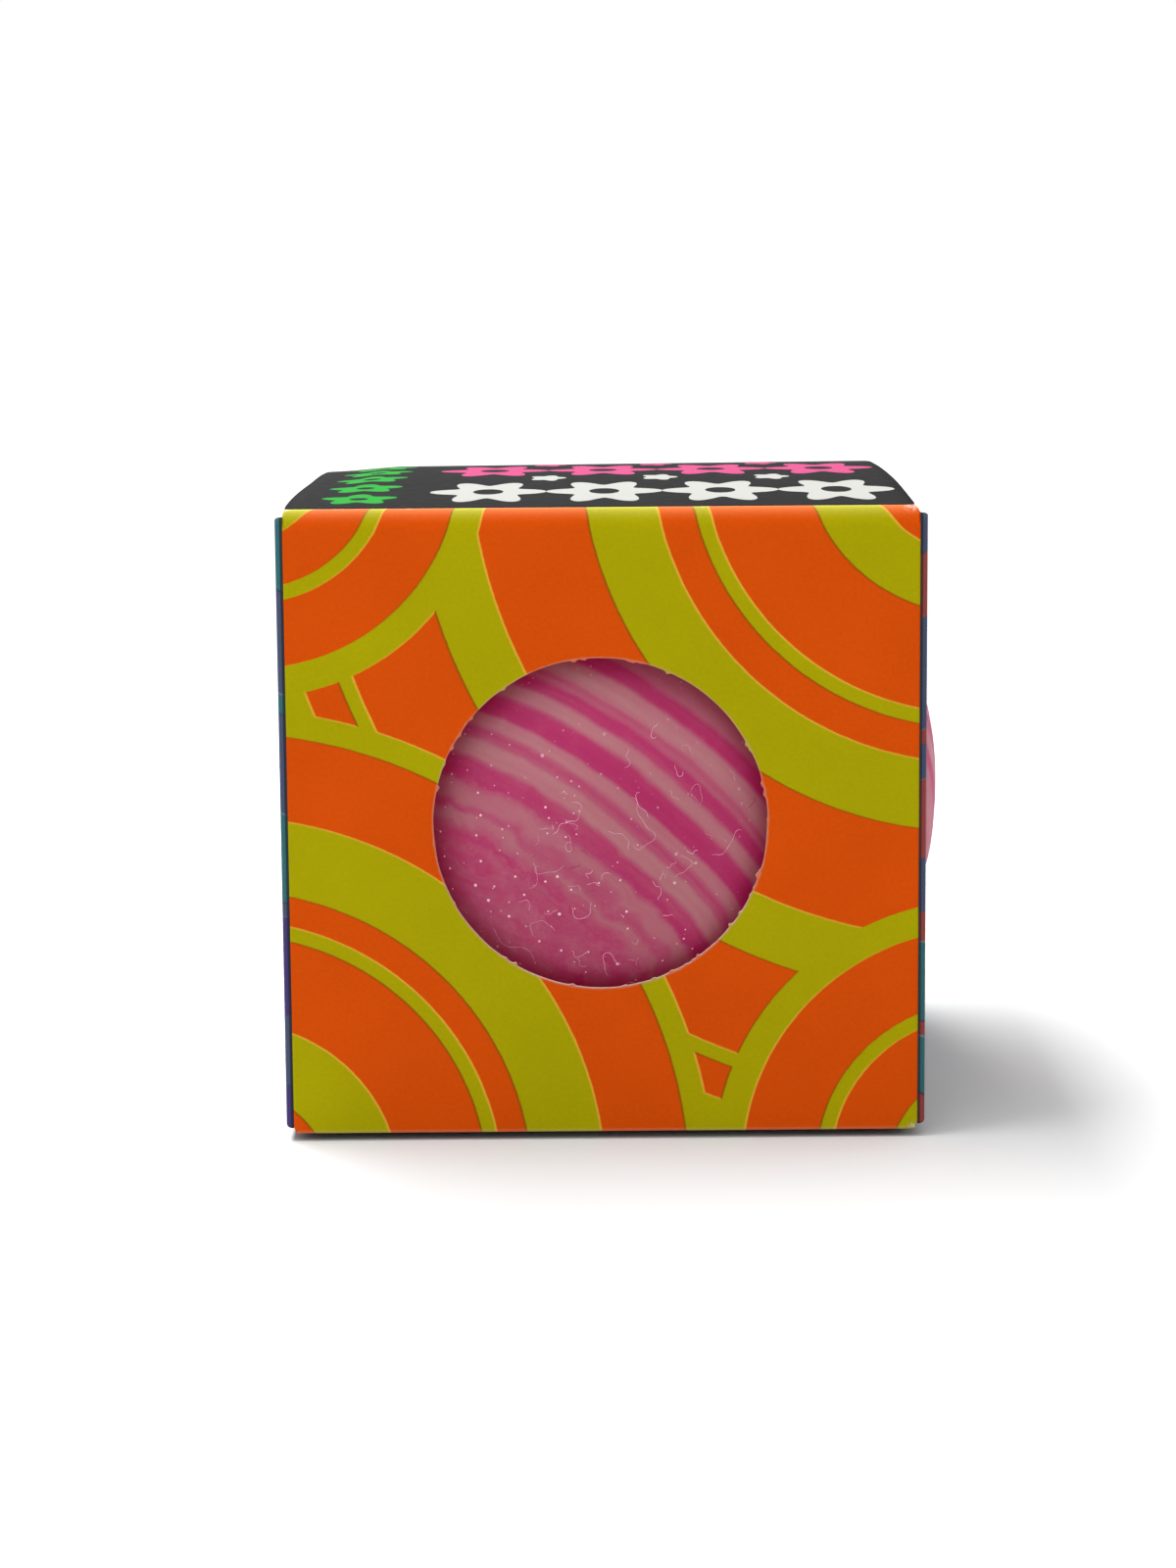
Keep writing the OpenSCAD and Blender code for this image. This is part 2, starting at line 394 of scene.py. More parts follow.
class NodeGraph:
    """Lays out the shader nodes of one material."""

    def __init__(self, name: str) -> None:
        """Start an empty material.

        Args:
            name: its name.
        """
        self.material = bpy.data.materials.new(name)
        self.material.use_nodes = True
        self.tree = self.material.node_tree
        self.tree.nodes.clear()

    def node(self, kind: str, inputs: dict[str | int, object] | None = None, **settings: object) -> bpy.types.Node:
        """Add one node.

        Args:
            kind: Blender's node type without its ShaderNode prefix.
            inputs: socket name or number, and a number, colour or socket for it.
            settings: properties of the node.

        Returns:
            The node.
        """
        made = self.tree.nodes.new("ShaderNode" + kind)
        for key, value in settings.items():
            setattr(made, key, value)
        for key, value in (inputs or {}).items():
            if isinstance(value, bpy.types.NodeSocket):
                self.tree.links.new(value, made.inputs[key])
            else:
                made.inputs[key].default_value = value
        return made

    def math(self, operation: str, a: Value, b: Value = 0.0, c: Value = 0.0, clamp: bool = False) -> Socket:
        """Work out one sum on up to three values."""
        return self.node("Math", {0: a, 1: b, 2: c}, operation=operation, use_clamp=clamp).outputs[0]

    def plus(self, a: Value, b: Value) -> Socket:
        """Add two values."""
        return self.math("ADD", a, b)

    def minus(self, a: Value, b: Value) -> Socket:
        """Take the second value from the first."""
        return self.math("SUBTRACT", a, b)

    def times(self, a: Value, b: Value) -> Socket:
        """Multiply two values."""
        return self.math("MULTIPLY", a, b)

    def line(self, a: Value, slope: Value, start: Value) -> Socket:
        """Follow a straight line: slope times the value, plus start."""
        return self.math("MULTIPLY_ADD", a, slope, start)

    def above(self, a: Value, limit: Value) -> Socket:
        """Give 1 where the value is above the limit and 0 elsewhere."""
        return self.math("GREATER_THAN", a, limit)

    def below(self, a: Value, limit: Value) -> Socket:
        """Give 1 where the value is below the limit and 0 elsewhere."""
        return self.math("LESS_THAN", a, limit)

    def vector(self, operation: str, a: object, b: object = (0.0, 0.0, 0.0), out: str = "Vector") -> Socket:
        """Work out one sum on two vectors."""
        return self.node("VectorMath", {0: a, 1: b}, operation=operation).outputs[out]

    def dot(self, a: object, axis: Point) -> Socket:
        """Measure a vector along an axis."""
        return self.vector("DOT_PRODUCT", a, axis, "Value")

    def distance(self, a: object, x: float, y: float) -> Socket:
        """Measure how far a place on the blank is from a point of it."""
        return self.vector("DISTANCE", a, (x, y, 0.0), "Value")

    def scaled(self, a: object, factor: Value) -> Socket:
        """Multiply a vector by a number."""
        return self.node("VectorMath", {0: a, "Scale": factor}, operation="SCALE").outputs["Vector"]

    def mix(self, share: Value, a: object, b: object, blend: str = "MIX") -> Socket:
        """Mix two colours by a share of 0 to 1."""
        a, b = ((*x, 1.0) if isinstance(x, tuple) else x for x in (a, b))
        return self.node("Mix", {0: share, 6: a, 7: b}, data_type="RGBA", blend_type=blend).outputs[2]

    def ramp(self, share: Socket, stops: Sequence[tuple[float, object]], shape: str = "LINEAR") -> Socket:
        """Turn a value into a colour through stops.

        Args:
            share: value of 0 to 1.
            stops: place and colour, or place and grey value.
            shape: how the ramp goes from stop to stop.

        Returns:
            The colour.
        """
        made = self.node("ValToRGB", {0: share})
        made.color_ramp.interpolation = shape
        elements = made.color_ramp.elements
        while len(elements) < len(stops):
            elements.new(0.5)
        for element, (place, value) in zip(elements, stops):
            element.position = place
            element.color = (*(value if isinstance(value, tuple) else (value,) * 3), 1.0)
        return made.outputs[0]

    def noise(self, place: Socket, scale: float, detail: float = 3.0, rough: float = 0.5, out: str = "Fac") -> Socket:
        """Read soft noise at a place; scale counts features per unit of it."""
        inputs = {"Vector": place, "Scale": scale, "Detail": detail, "Roughness": rough}
        return self.node("TexNoise", inputs).outputs[out]

    def shake(self, place: Socket, scale: float, detail: float) -> Socket:
        """Read soft noise as a small vector of any direction."""
        return self.vector("SUBTRACT", self.noise(place, scale, detail, out="Color"), (0.5, 0.5, 0.5))

    def band(self, value: Value, low: float, high: float) -> Socket:
        """Rise smoothly from 0 at low to 1 at high."""
        inputs = {0: value, 1: low, 2: high, 3: 0.0, 4: 1.0}
        return self.node("MapRange", inputs, interpolation_type="SMOOTHSTEP").outputs[0]

    def specks(self, place: Socket, pitch: float, size: float, share: float) -> Socket:
        """Scatter small round specks: the middles of random cells, of which only some are kept.

        Args:
            place: coordinates in millimetres.
            pitch: size of a cell, mm.
            size: radius of the largest speck, mm.
            share: part of the cells that hold one.

        Returns:
            1 on a speck and 0 elsewhere.
        """
        cell = self.node("TexVoronoi", {"Vector": place, "Scale": 1.0 / pitch, "Randomness": 1.0})
        pick = self.node("SeparateColor", {0: cell.outputs["Color"]})
        reach = self.line(pick.outputs[1], 0.75 * size / pitch, 0.25 * size / pitch)
        return self.times(self.below(pick.outputs[0], share), self.below(cell.outputs["Distance"], reach))

    def place(self) -> Socket:
        """Read the object's own coordinates, in millimetres."""
        return self.scaled(self.node("TexCoord").outputs["Object"], 1000.0)

    def sheet(self) -> tuple[Socket, Socket, Socket, Socket]:
        """Read the attribute that lays the piece out on the blank.

        Returns:
            The place on the blank, its two coordinates in millimetres, and the wear.
        """
        vector = self.node("Attribute", attribute_name="sheet").outputs["Vector"]
        parts = self.node("SeparateXYZ", {0: vector}).outputs
        flat = self.node("CombineXYZ", {0: parts[0], 1: parts[1]}).outputs[0]
        return flat, parts[0], parts[1], parts[2]

    def bump(self, height: Socket, depth: float, strength: float) -> Socket:
        """Make a bumped normal from heights of 0 to 1 that stand depth millimetres tall."""
        return self.node("Bump", {"Height": height, "Distance": depth * MM, "Strength": strength}).outputs[0]

    def finish(self, **sockets: object) -> Material:
        """Close the material with one Principled shader.

        Args:
            sockets: the shader's inputs, with underscores for spaces.

        Returns:
            The material.
        """
        shader = self.node("BsdfPrincipled", {name.replace("_", " "): value for name, value in sockets.items()})
        output = self.node("OutputMaterial")
        self.tree.links.new(shader.outputs[0], output.inputs[0])
        return self.material

    def card(self, colour: Socket, flat: Socket, wear: Socket, roughness: float, gloss: float) -> Material:
        """Close the material as printed card: rubbed corners, stray specks and the tooth of the paper.

        Args:
            colour: the inks.
            flat: place on the blank.
            wear: how rubbed the place is, 0 to 1.
            roughness: of the varnish.
            gloss: strength of the varnish's reflection.

        Returns:
            The material.
        """
        crinkle = self.math("ABSOLUTE", self.minus(self.noise(flat, 0.9, 4.0, 0.75), 0.5))
        rubbed = self.band(self.minus(wear, self.times(crinkle, 6.5)), 0.2, 0.75)
        colour = self.mix(self.times(rubbed, 0.5), colour, SCUFFED)
        colour = self.mix(self.times(self.specks(flat, 5.0, 0.13, 0.3), 0.75), colour, CARD_SPECK)
        tooth = self.noise(flat, 3.4, 3.0, 0.6)
        rough = self.line(self.noise(flat, 0.7, 3.0), 0.16, roughness - 0.08)
        normal = self.bump(self.plus(tooth, self.times(rubbed, -0.6)), 0.02, 0.5)
        return self.finish(Base_Color=colour, Roughness=rough, Normal=normal, Specular_IOR_Level=gloss)


@dataclass(frozen=True)
class Arch:
    """Rings of two inks round one centre on the blank.

    Attributes:
        centre: middle of the rings, mm on the blank.
        rings: radii where the ink changes; the last is the arch's own size.
        starts_over: whether the innermost disc has the upper ink.
        under: ink that lies underneath.
        over: ink printed on top of it.
    """

    centre: tuple[float, float]
    rings: tuple[float, ...]
    starts_over: bool = True
    under: Colour = LIME
    over: Colour = ORANGE


@dataclass(frozen=True)
class ArchPrint:
    """Satin print of overlapping arches on coated board.

    Attributes:
        name: material name.
        ground: ink behind all arches.
        arches: from the rearmost to the foremost.
        gap: colour of the thin line where the inks miss each other.
        trap: colour of the thin line where they overlap.
        fringe: half width of the step from ink to ink, mm.
        slip: how far the upper ink lies out of register, mm.
        roughness: of the varnish.
        crease: height on the blank from which the painted highlights along the folds are placed, mm.
        lap: distance from the middle beyond which the next wall's ink runs over, mm.
        rim: middle and radius of the window on the blank; no window if the radius is negative.
    """

    name: str
    ground: Colour
    arches: tuple[Arch, ...]
    gap: Colour = (0.56, 0.29, 0.03)
    trap: Colour = (0.15, 0.065, 0.002)
    fringe: float = 0.1
    slip: Point = (0.13, 0.04, 0.0)
    roughness: float = 0.42
    crease: float = 30.2
    lap: float = 32.66
    rim: tuple[float, float, float] = (0.0, 0.0, -5.0)

    def past(self, g: NodeGraph, far: Socket, ring: float) -> Socket:
        """Rise evenly from 0 inside a ring to 1 outside it, across the fringe."""
        return g.node("MapRange", {0: far, 1: ring - self.fringe, 2: ring + self.fringe}).outputs[0]

    def rings(self, g: NodeGraph, far: Socket, arch: Arch) -> Value:
        """Count the rings that lie inside a place, up by one and down by one in turn.

        Args:
            g: material to draw in.
            far: distance from the arch's centre.
            arch: the arch.

        Returns:
            A value of 0 on the lower ink and 1 on the upper one.
        """
        count: Value = float(arch.starts_over)
        for i, ring in enumerate(arch.rings[:-1]):
            count = g.line(self.past(g, far, ring), (-1.0) ** (i + arch.starts_over), count)
        return count

    def inks(self, g: NodeGraph, flat: Socket) -> Socket:
        """Draw the arches: inside each arch's radius the number of rings passed picks one of its two inks.

        Args:
            g: material to draw in.
            flat: place on the blank.

        Returns:
            The colour.
        """
        colour: object = self.ground
        for arch in self.arches:
            far = g.distance(flat, *arch.centre)
            over = g.above(self.rings(g, far, arch), 0.5)
            colour = g.mix(g.below(far, arch.rings[-1]), colour, g.mix(over, arch.under, arch.over))
        return colour

    def tone(self, g: NodeGraph, flat: Socket) -> Socket:
        """Tell the inks apart.

        Args:
            g: material to draw in.
            flat: place on the blank.

        Returns:
            A value that goes from 0 on the lower ink to 1 on the upper one across the fringe.
        """
        tone: Value = 1.0
        for arch in self.arches:
            far = g.distance(flat, *arch.centre)
            outside = self.past(g, far, arch.rings[-1])
            tone = g.line(outside, tone, g.times(g.minus(1.0, outside), self.rings(g, far, arch)))
        return tone

    def make(self) -> Material:
        """Build the material: the inks, thin lines where they miss or overlap, mottle, and painted highlights along
        the top and bottom folds.

        Returns:
            The material.
        """
        g = NodeGraph(self.name)
        flat, x, y, wear = g.sheet()
        drawn = g.vector("ADD", flat, g.scaled(g.shake(flat, 1.1, 2.0), 0.09))
        colour = self.inks(g, drawn)
        rise = g.minus(self.tone(g, g.vector("ADD", drawn, self.slip)), self.tone(g, drawn))
        missed = g.math("MINIMUM", g.times(g.math("ABSOLUTE", rise), 1.3), 0.7)
        colour = g.mix(missed, colour, g.mix(g.above(rise, 0.0), self.trap, self.gap))
        edge = g.minus(g.distance(drawn, *self.rim[:2]), self.rim[2])
        edge = g.line(g.noise(flat, 1.3, 2.0), 0.3, edge)
        colour = g.mix(g.times(g.band(edge, 0.36, 0.22), 0.42), colour, CUT_PINK)
        mottle, cloud = g.noise(flat, 2.6, 4.0, 0.7), g.noise(flat, 0.09, 2.0)
        shade = g.plus(g.times(mottle, 0.3), g.line(cloud, 0.16, 0.77))
        grey = g.node("CombineColor", {0: shade, 1: shade, 2: shade}).outputs[0]
        colour = g.mix(1.0, colour, grey, "MULTIPLY")
        # painted highlight: a pale band along the top fold stands in for the varnish's reflection of the light above
        top = g.band(y, self.crease, self.crease + 1.8)
        colour = g.mix(g.times(top, 0.08), colour, FOLD_PAINTED_HIGHLIGHT)
        # painted light: a thin pale line at the foot stands in for light thrown up from the floor onto the bottom
        # fold
        foot = g.band(g.times(y, -1.0), self.crease + 1.05, self.crease + 1.35)
        colour = g.mix(g.times(foot, 0.09), colour, FOOT_PAINTED_LIGHT)
        colour = g.mix(g.times(g.above(g.math("ABSOLUTE", x), self.lap), 0.8), colour, LAP_INK)
        return g.card(colour, flat, wear, self.roughness, 0.025)


@dataclass(frozen=True)
class BloomRow:
    """A row of equal printed blooms.

    Attributes:
        start: where the row begins, mm along it.
        count: number of blooms.
        middle: where the row lies across.
        size: radius to the tip of a petal.
        ink: the ink.
        petals: number of petals.
        notch: how deep the gaps between petals are, as a share of the radius.
        eye: radius of the bare eye, as a share of the radius.
        stretch: length of a bloom across the row, over its width.
        pitch: from bloom to bloom.
    """

    start: float
    count: int
    middle: float
    size: float
    ink: Colour
    petals: int = 6
    notch: float = 0.4
    eye: float = 0.26
    stretch: float = 1.9
    pitch: float = 12.0

    def mask(self, g: NodeGraph, along: Socket, across: Socket) -> Socket:
        """Draw the row: ink lies between the eye and an outline whose radius is a cosine of the angle.

        Args:
            g: material to draw in.
            along: coordinate along the row.
            across: coordinate across it.

        Returns:
            1 on ink and 0 elsewhere.
        """
        step = g.math("DIVIDE", g.minus(along, self.start), self.pitch)
        local = g.times(g.minus(g.math("FRACT", step), 0.5), self.pitch)
        beside = g.math("DIVIDE", g.minus(across, self.middle), self.stretch)
        far = g.math("SQRT", g.plus(g.times(local, local), g.times(beside, beside)))
        wave = g.math("COSINE", g.times(g.math("ARCTAN2", beside, local), float(self.petals)))
        edge = g.line(wave, self.size * self.notch / 2, self.size * (1 - self.notch / 2))
        drawn = g.times(g.below(far, edge), g.above(far, self.size * self.eye))
        kept = g.times(g.above(step, 0.0), g.below(step, float(self.count)))
        return g.times(kept, drawn)


@dataclass(frozen=True)
class BlackPrint:
    """Satin black print, bare or with rows of blooms in light inks, with a painted grey sheen where the black nears a
    fold.

    Attributes:
        name: material name.
        rows: rows that run along X.
        columns: rows that run along Y.
        painted_sheen: places on the blank between which the black goes from full to a painted grey sheen, mm.
        roughness: of the varnish.
    """

    name: str
    rows: tuple[BloomRow, ...] = ()
    columns: tuple[BloomRow, ...] = ()
    painted_sheen: tuple[float, float] = (60.0, 61.0)
    roughness: float = 0.6

    def make(self) -> Material:
        """Build the material.

        Returns:
            The material.
        """
        g = NodeGraph(self.name)
        flat, x, y, wear = g.sheet()
        mottle = g.noise(flat, 2.2, 4.0, 0.7)
        colour = g.mix(mottle, toned(INK_BLACK, 0.7), toned(INK_BLACK, 1.3))
        for row, along, across in [(r, x, y) for r in self.rows] + [(c, y, x) for c in self.columns]:
            tint = g.mix(mottle, toned(row.ink, 0.88), row.ink)
            colour = g.mix(row.mask(g, along, across), colour, tint)
        # painted sheen: the black turns greyer towards the fold between lid and tuck flap, standing in for the light
        # that the fold catches
        colour = g.mix(g.times(g.band(y, *self.painted_sheen), 0.5), colour, INK_PAINTED_SHEEN)
        return g.card(colour, flat, wear, self.roughness, 0.004)


@dataclass(frozen=True)
class RawBoard:
    """Unprinted folding boxboard, with a strip of print running over from the next panel where wanted.

    Attributes:
        name: material name.
        pale: lightest fibre colour.
        dark: darkest fibre colour.
        overrun: width of the strip of ink beside the fold, mm; 0 for none.
        ink: colour of that strip.
    """

    name: str
    pale: Colour = BOARD_PALE
    dark: Colour = BOARD_GREY
    overrun: float = 0.0
    ink: Colour = NAVY

    def make(self) -> Material:
        """Build the material: long fibres from stretched noise, darker flecks, and the strip of ink.

        Returns:
            The material.
        """
        g = NodeGraph(self.name)
        place = g.place()
        fibre = g.noise(g.vector("MULTIPLY", place, (1.0, 1.0, 2.6)), 1.6, 5.0, 0.65)
        cloud = g.noise(place, 0.16, 3.0)
        colour = g.ramp(g.line(fibre, 0.8, g.times(cloud, 0.2)), [(0.3, self.dark), (0.62, self.pale)])
        colour = g.mix(g.times(g.specks(place, 1.7, 0.16, 0.35), 0.35), colour, BOARD_FLECK)
        if self.overrun:
            flat, x, _, _ = g.sheet()
            ragged = g.plus(x, g.line(g.noise(flat, 1.4, 3.0), 0.3, -0.15))
            colour = g.mix(g.below(ragged, self.overrun), colour, self.ink)
        rough = g.line(cloud, 0.15, 0.74)
        return g.finish(Base_Color=colour, Roughness=rough, Normal=g.bump(fibre, 0.03, 0.6), Specular_IOR_Level=0.2)


@dataclass(frozen=True)
class MarbledSkin:
    """Soft rubber skin with wavy layers of two colours, seen as bands where the surface cuts them.

    Attributes:
        name: material name.
        middle: middle of the ball, mm.
        axis: direction across the layers.
        along: first direction in the layers.
        across: second direction in the layers, square to the first.
        reach: distance over which the layers are listed before they repeat mirrored, mm.
        layers: place along the axis in mm, and how deep the pink is, 0 to 1.
    """

    name: str = "soft_marbled_skin"
    middle: Point = (2.27, -0.08, 32.01)
    axis: Point = (-0.476, -0.639, -0.604)
    along: Point = (0.785, 0.0, -0.619)
    across: Point = (0.396, -0.769, 0.502)
    reach: float = 36.0
    layers: tuple[tuple[float, float], ...] = (
        (0.0, 0.4), (4.5, 0.65), (7.5, 0.2), (9.4, 0.3), (10.3, 0.8), (11.1, 0.95), (12.0, 0.15), (12.8, 0.03),
        (13.5, 0.12), (14.0, 0.55), (14.4, 0.45), (15.1, 0.85), (15.7, 0.75), (16.3, 0.12), (17.0, 0.08),
        (17.7, 0.8), (18.4, 1.0), (19.1, 0.9), (19.6, 0.15), (20.2, 0.1), (20.9, 0.65), (21.3, 0.5),
        (21.8, 0.06), (22.7, 0.05), (23.4, 0.7), (24.4, 0.8), (25.2, 0.2), (25.8, 0.18), (26.6, 0.6),
        (27.4, 0.15), (28.6, 0.7), (36.0, 0.55),
    )

    def make(self) -> Material:
        """Build the material: distance along the axis, shaken by noise, looks up the depth of pink.

        Low on the front a smeared film hides the layers, and pale dust lies there.

        Returns:
            The material.
        """
        g = NodeGraph(self.name)
        place = g.vector("SUBTRACT", g.place(), self.middle)
        sway, curl = g.shake(place, 0.055, 2.0), g.shake(place, 0.3, 3.0)
        swirl = g.line(g.band(g.dot(place, self.axis), 21.5, 27.5), 2.2, 0.5)
        moved = g.vector("ADD", g.vector("ADD", place, sway), g.scaled(curl, swirl))
        depth = g.dot(moved, self.axis)
        share = g.math("DIVIDE", g.math("PINGPONG", depth, self.reach), self.reach)
        pink = g.ramp(share, [(p / self.reach, v) for p, v in self.layers], "EASE")
        drawn = [g.times(depth, 1.5)] + [g.times(g.dot(moved, way), 0.1) for way in (self.along, self.across)]
        streak = g.noise(g.node("CombineXYZ", dict(enumerate(drawn))).outputs[0], 1.0, 5.0, 0.6)
        smear = g.noise(g.vector("MULTIPLY", place, (0.7, 1.0, 1.0)), 0.34, 5.0, 0.62)
        film = g.times(g.band(depth, 23.0, 30.0), g.band(g.noise(place, 0.12, 3.0), 0.3, 0.62))
        smeared = g.line(streak, 0.75, g.line(smear, 0.55, -0.13))
        pink = g.plus(g.times(pink, g.line(film, -0.7, 1.0)), g.times(smeared, g.times(film, 0.7)))
        fine = g.line(g.noise(place, 2.4, 4.0, 0.7), 0.16, -0.08)
        pink = g.math("ADD", pink, g.line(streak, 0.44, g.minus(fine, 0.22)), clamp=True)
        colour = g.ramp(pink, [(0.0, PINK_PALE), (0.42, PINK_MID), (0.8, PINK_STRONG), (1.0, PINK_DEEP)])
        low = g.line(g.band(depth, 17.0, 27.0), 0.8, 0.2)
        cloudy = g.band(g.noise(place, 0.5, 6.0, 0.7), 0.48, 0.75)
        colour = g.mix(g.times(cloudy, g.line(film, 0.3, 0.06)), colour, PINK_HAZE)
        patch = g.times(g.band(g.noise(place, 0.17, 2.0), 0.34, 0.55), low)
        few = g.times(g.specks(place, 0.8, 0.12, 0.6), patch)
        dust = g.math("MAXIMUM", few, g.times(g.specks(place, 1.4, 0.19, 0.7), low))
        colour = g.mix(g.times(dust, 0.8), colour, PINK_DUST)
        relief = g.plus(g.noise(place, 1.1, 4.0, 0.6), g.times(dust, 0.8))
        rough = g.line(g.noise(place, 0.6, 4.0), 0.2, 0.5)
        # The faint deep pink emission is a painted glow: it lifts the shade near the windows' rims, standing in for
        # light passing through the rubber.
        return g.finish(Base_Color=colour, Roughness=rough, Normal=g.bump(relief, 0.05, 0.5), Specular_IOR_Level=0.25,
                        Subsurface_Weight=0.75, Subsurface_Radius=(1.0, 0.07, 0.12), Subsurface_Scale=0.005,
                        Emission_Color=PINK_PAINTED_GLOW, Emission_Strength=1.0)


@dataclass(frozen=True)
class SoftBody:
    """Soft filling, plug or lint in one mottled colour.

    Attributes:
        name: material name.
        pale: lighter colour.
        deep: darker colour.
        grain: features per millimetre.
        roughness: of the surface.
    """

    name: str
    pale: Colour
    deep: Colour
    grain: float
    roughness: float = 0.55

    def make(self) -> Material:
        """Build the material from noise.

        Returns:
            The material.
        """
        g = NodeGraph(self.name)
        mottle = g.noise(g.place(), self.grain, 4.0, 0.6)
        colour = g.mix(g.band(mottle, 0.35, 0.65), self.deep, self.pale)
        rough = g.line(mottle, 0.2, self.roughness - 0.1)
        return g.finish(Base_Color=colour, Roughness=rough, Normal=g.bump(mottle, 0.06, 0.5), Specular_IOR_Level=0.3)


class Finishes:
    """Every finish of the part, made once."""

    def __init__(self) -> None:
        """Make the materials: arches of two inks on each wall, foremost last, and blooms on the lid."""
        self.front = ArchPrint("print_front", ORANGE, (
            Arch((37, 38), (11, 17, 27, 28.5, 32, 39, 50, 56, 66, 67.5, 71, 78, 120)),
            Arch((-38, -37), (10, 17, 26, 27.5, 30.5, 38, 46.5, 49)),
            Arch((-35, 37), (8, 13, 14.5, 21, 24), False),
            Arch((38, -35), (9, 15, 16.5, 24, 27), False),
        ), rim=(-0.3, 0.0, 16.8)).make()
        self.back = ArchPrint("print_back", ORANGE, (
            Arch((0, 42), (13, 20, 31, 32.5, 36, 44, 55, 61, 72, 74, 120)),
            Arch((-35, -37), (8, 15, 24, 25.5, 29, 35, 38)),
            Arch((35, -37), (10, 16, 17.5, 26, 29), False),
        )).make()
        self.right = ArchPrint("print_right", NAVY, (
            Arch((-37, 36), (10, 16, 27, 28.5, 32, 40, 51, 58, 120), True, RED, NAVY),
            Arch((38, -37), (9, 16, 25, 26.5, 30, 38, 47, 49.5), True, TEAL, NAVY),
            Arch((-36, -34), (7, 12.5, 14, 22, 25), True, TEAL, RED),
        ), GAP_BLUE, TRAP_BLUE, rim=(0.0, 0.0, 16.8)).make()
        self.left = ArchPrint("print_left", NAVY, (
            Arch((36, -37), (11, 18, 28, 29.5, 33, 41, 52, 58, 120), False, PURPLE, NAVY),
            Arch((37, 36), (13, 23, 25, 35, 44), False, TEAL, NAVY),
            Arch((-37, -35), (8, 14, 15.5, 24, 27), True, TEAL, RED),
        ), GAP_BLUE, TRAP_BLUE).make()
        self.lid = BlackPrint("print_lid", (
            BloomRow(-17.6, 4, -16.5, 6.0, INK_WHITE),
            BloomRow(-11.6, 3, -0.5, 2.0, INK_WHITE, 5, 0.3, 0.0),
            BloomRow(-17.6, 4, 13.5, 6.0, INK_PINK),
            BloomRow(-11.6, 3, 27.0, 2.0, INK_PINK, 5, 0.3, 0.0),
        ), (BloomRow(-29.0, 5, -24.6, 5.0, INK_GREEN, 5, 0.38, 0.24, 0.8),), (24.0, 31.5)).make()
        self.black = BlackPrint("print_black").make()
        self.tuck = BlackPrint("print_tuck", painted_sheen=(3.0, 0.0)).make()
        self.flap = RawBoard("board_flap", linear(170, 167, 161), linear(154, 150, 143), 2.6).make()
        self.inside = RawBoard("board_inside").make()
        self.edge = RawBoard("board_cut_edge", linear(196, 172, 158), linear(154, 130, 118)).make()
        self.skin = MarbledSkin().make()
        self.dough = SoftBody("dough_filling", linear(238, 224, 226), linear(222, 200, 205), 0.25).make()
        self.plug = SoftBody("plug_rubber", linear(206, 60, 132), linear(188, 30, 108), 0.4).make()
        self.hair = SoftBody("lint_hair", linear(70, 40, 48), linear(44, 26, 32), 2.0, 0.7).make()
        self.lint = SoftBody("lint_fibre", linear(226, 186, 204), linear(205, 140, 172), 2.0, 0.8).make()

    def card(self, printed: Material) -> tuple[Material, ...]:
        """List the materials of a piece of card in the order of Face."""
        return printed, self.inside, self.edge


@dataclass(frozen=True)
class Piece:
    """What a finished piece is called and what it stands for.

    Attributes:
        name: name of the object.
        body: CAD body that it moves with.
        node: CAD node that it takes the place of, if any.
        slot: material slot; not used.
    """

    name: str
    body: str
    node: str | None
    slot: str

    def settle(self, skin: Surface, materials: Sequence[Material]) -> Object:
        """Make the object and tie it to its CAD body, node and material slot.

        Args:
            skin: its mesh.
            materials: one for each of the skin's finishes.

        Returns:
            The object.
        """
        piece = skin.to_object(self.name, materials)
        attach(piece, self.body)
        if self.node:
            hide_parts(self.node)
        LOG.info("%s: %d faces on %s", self.name, len(piece.data.polygons), self.body)
        return piece


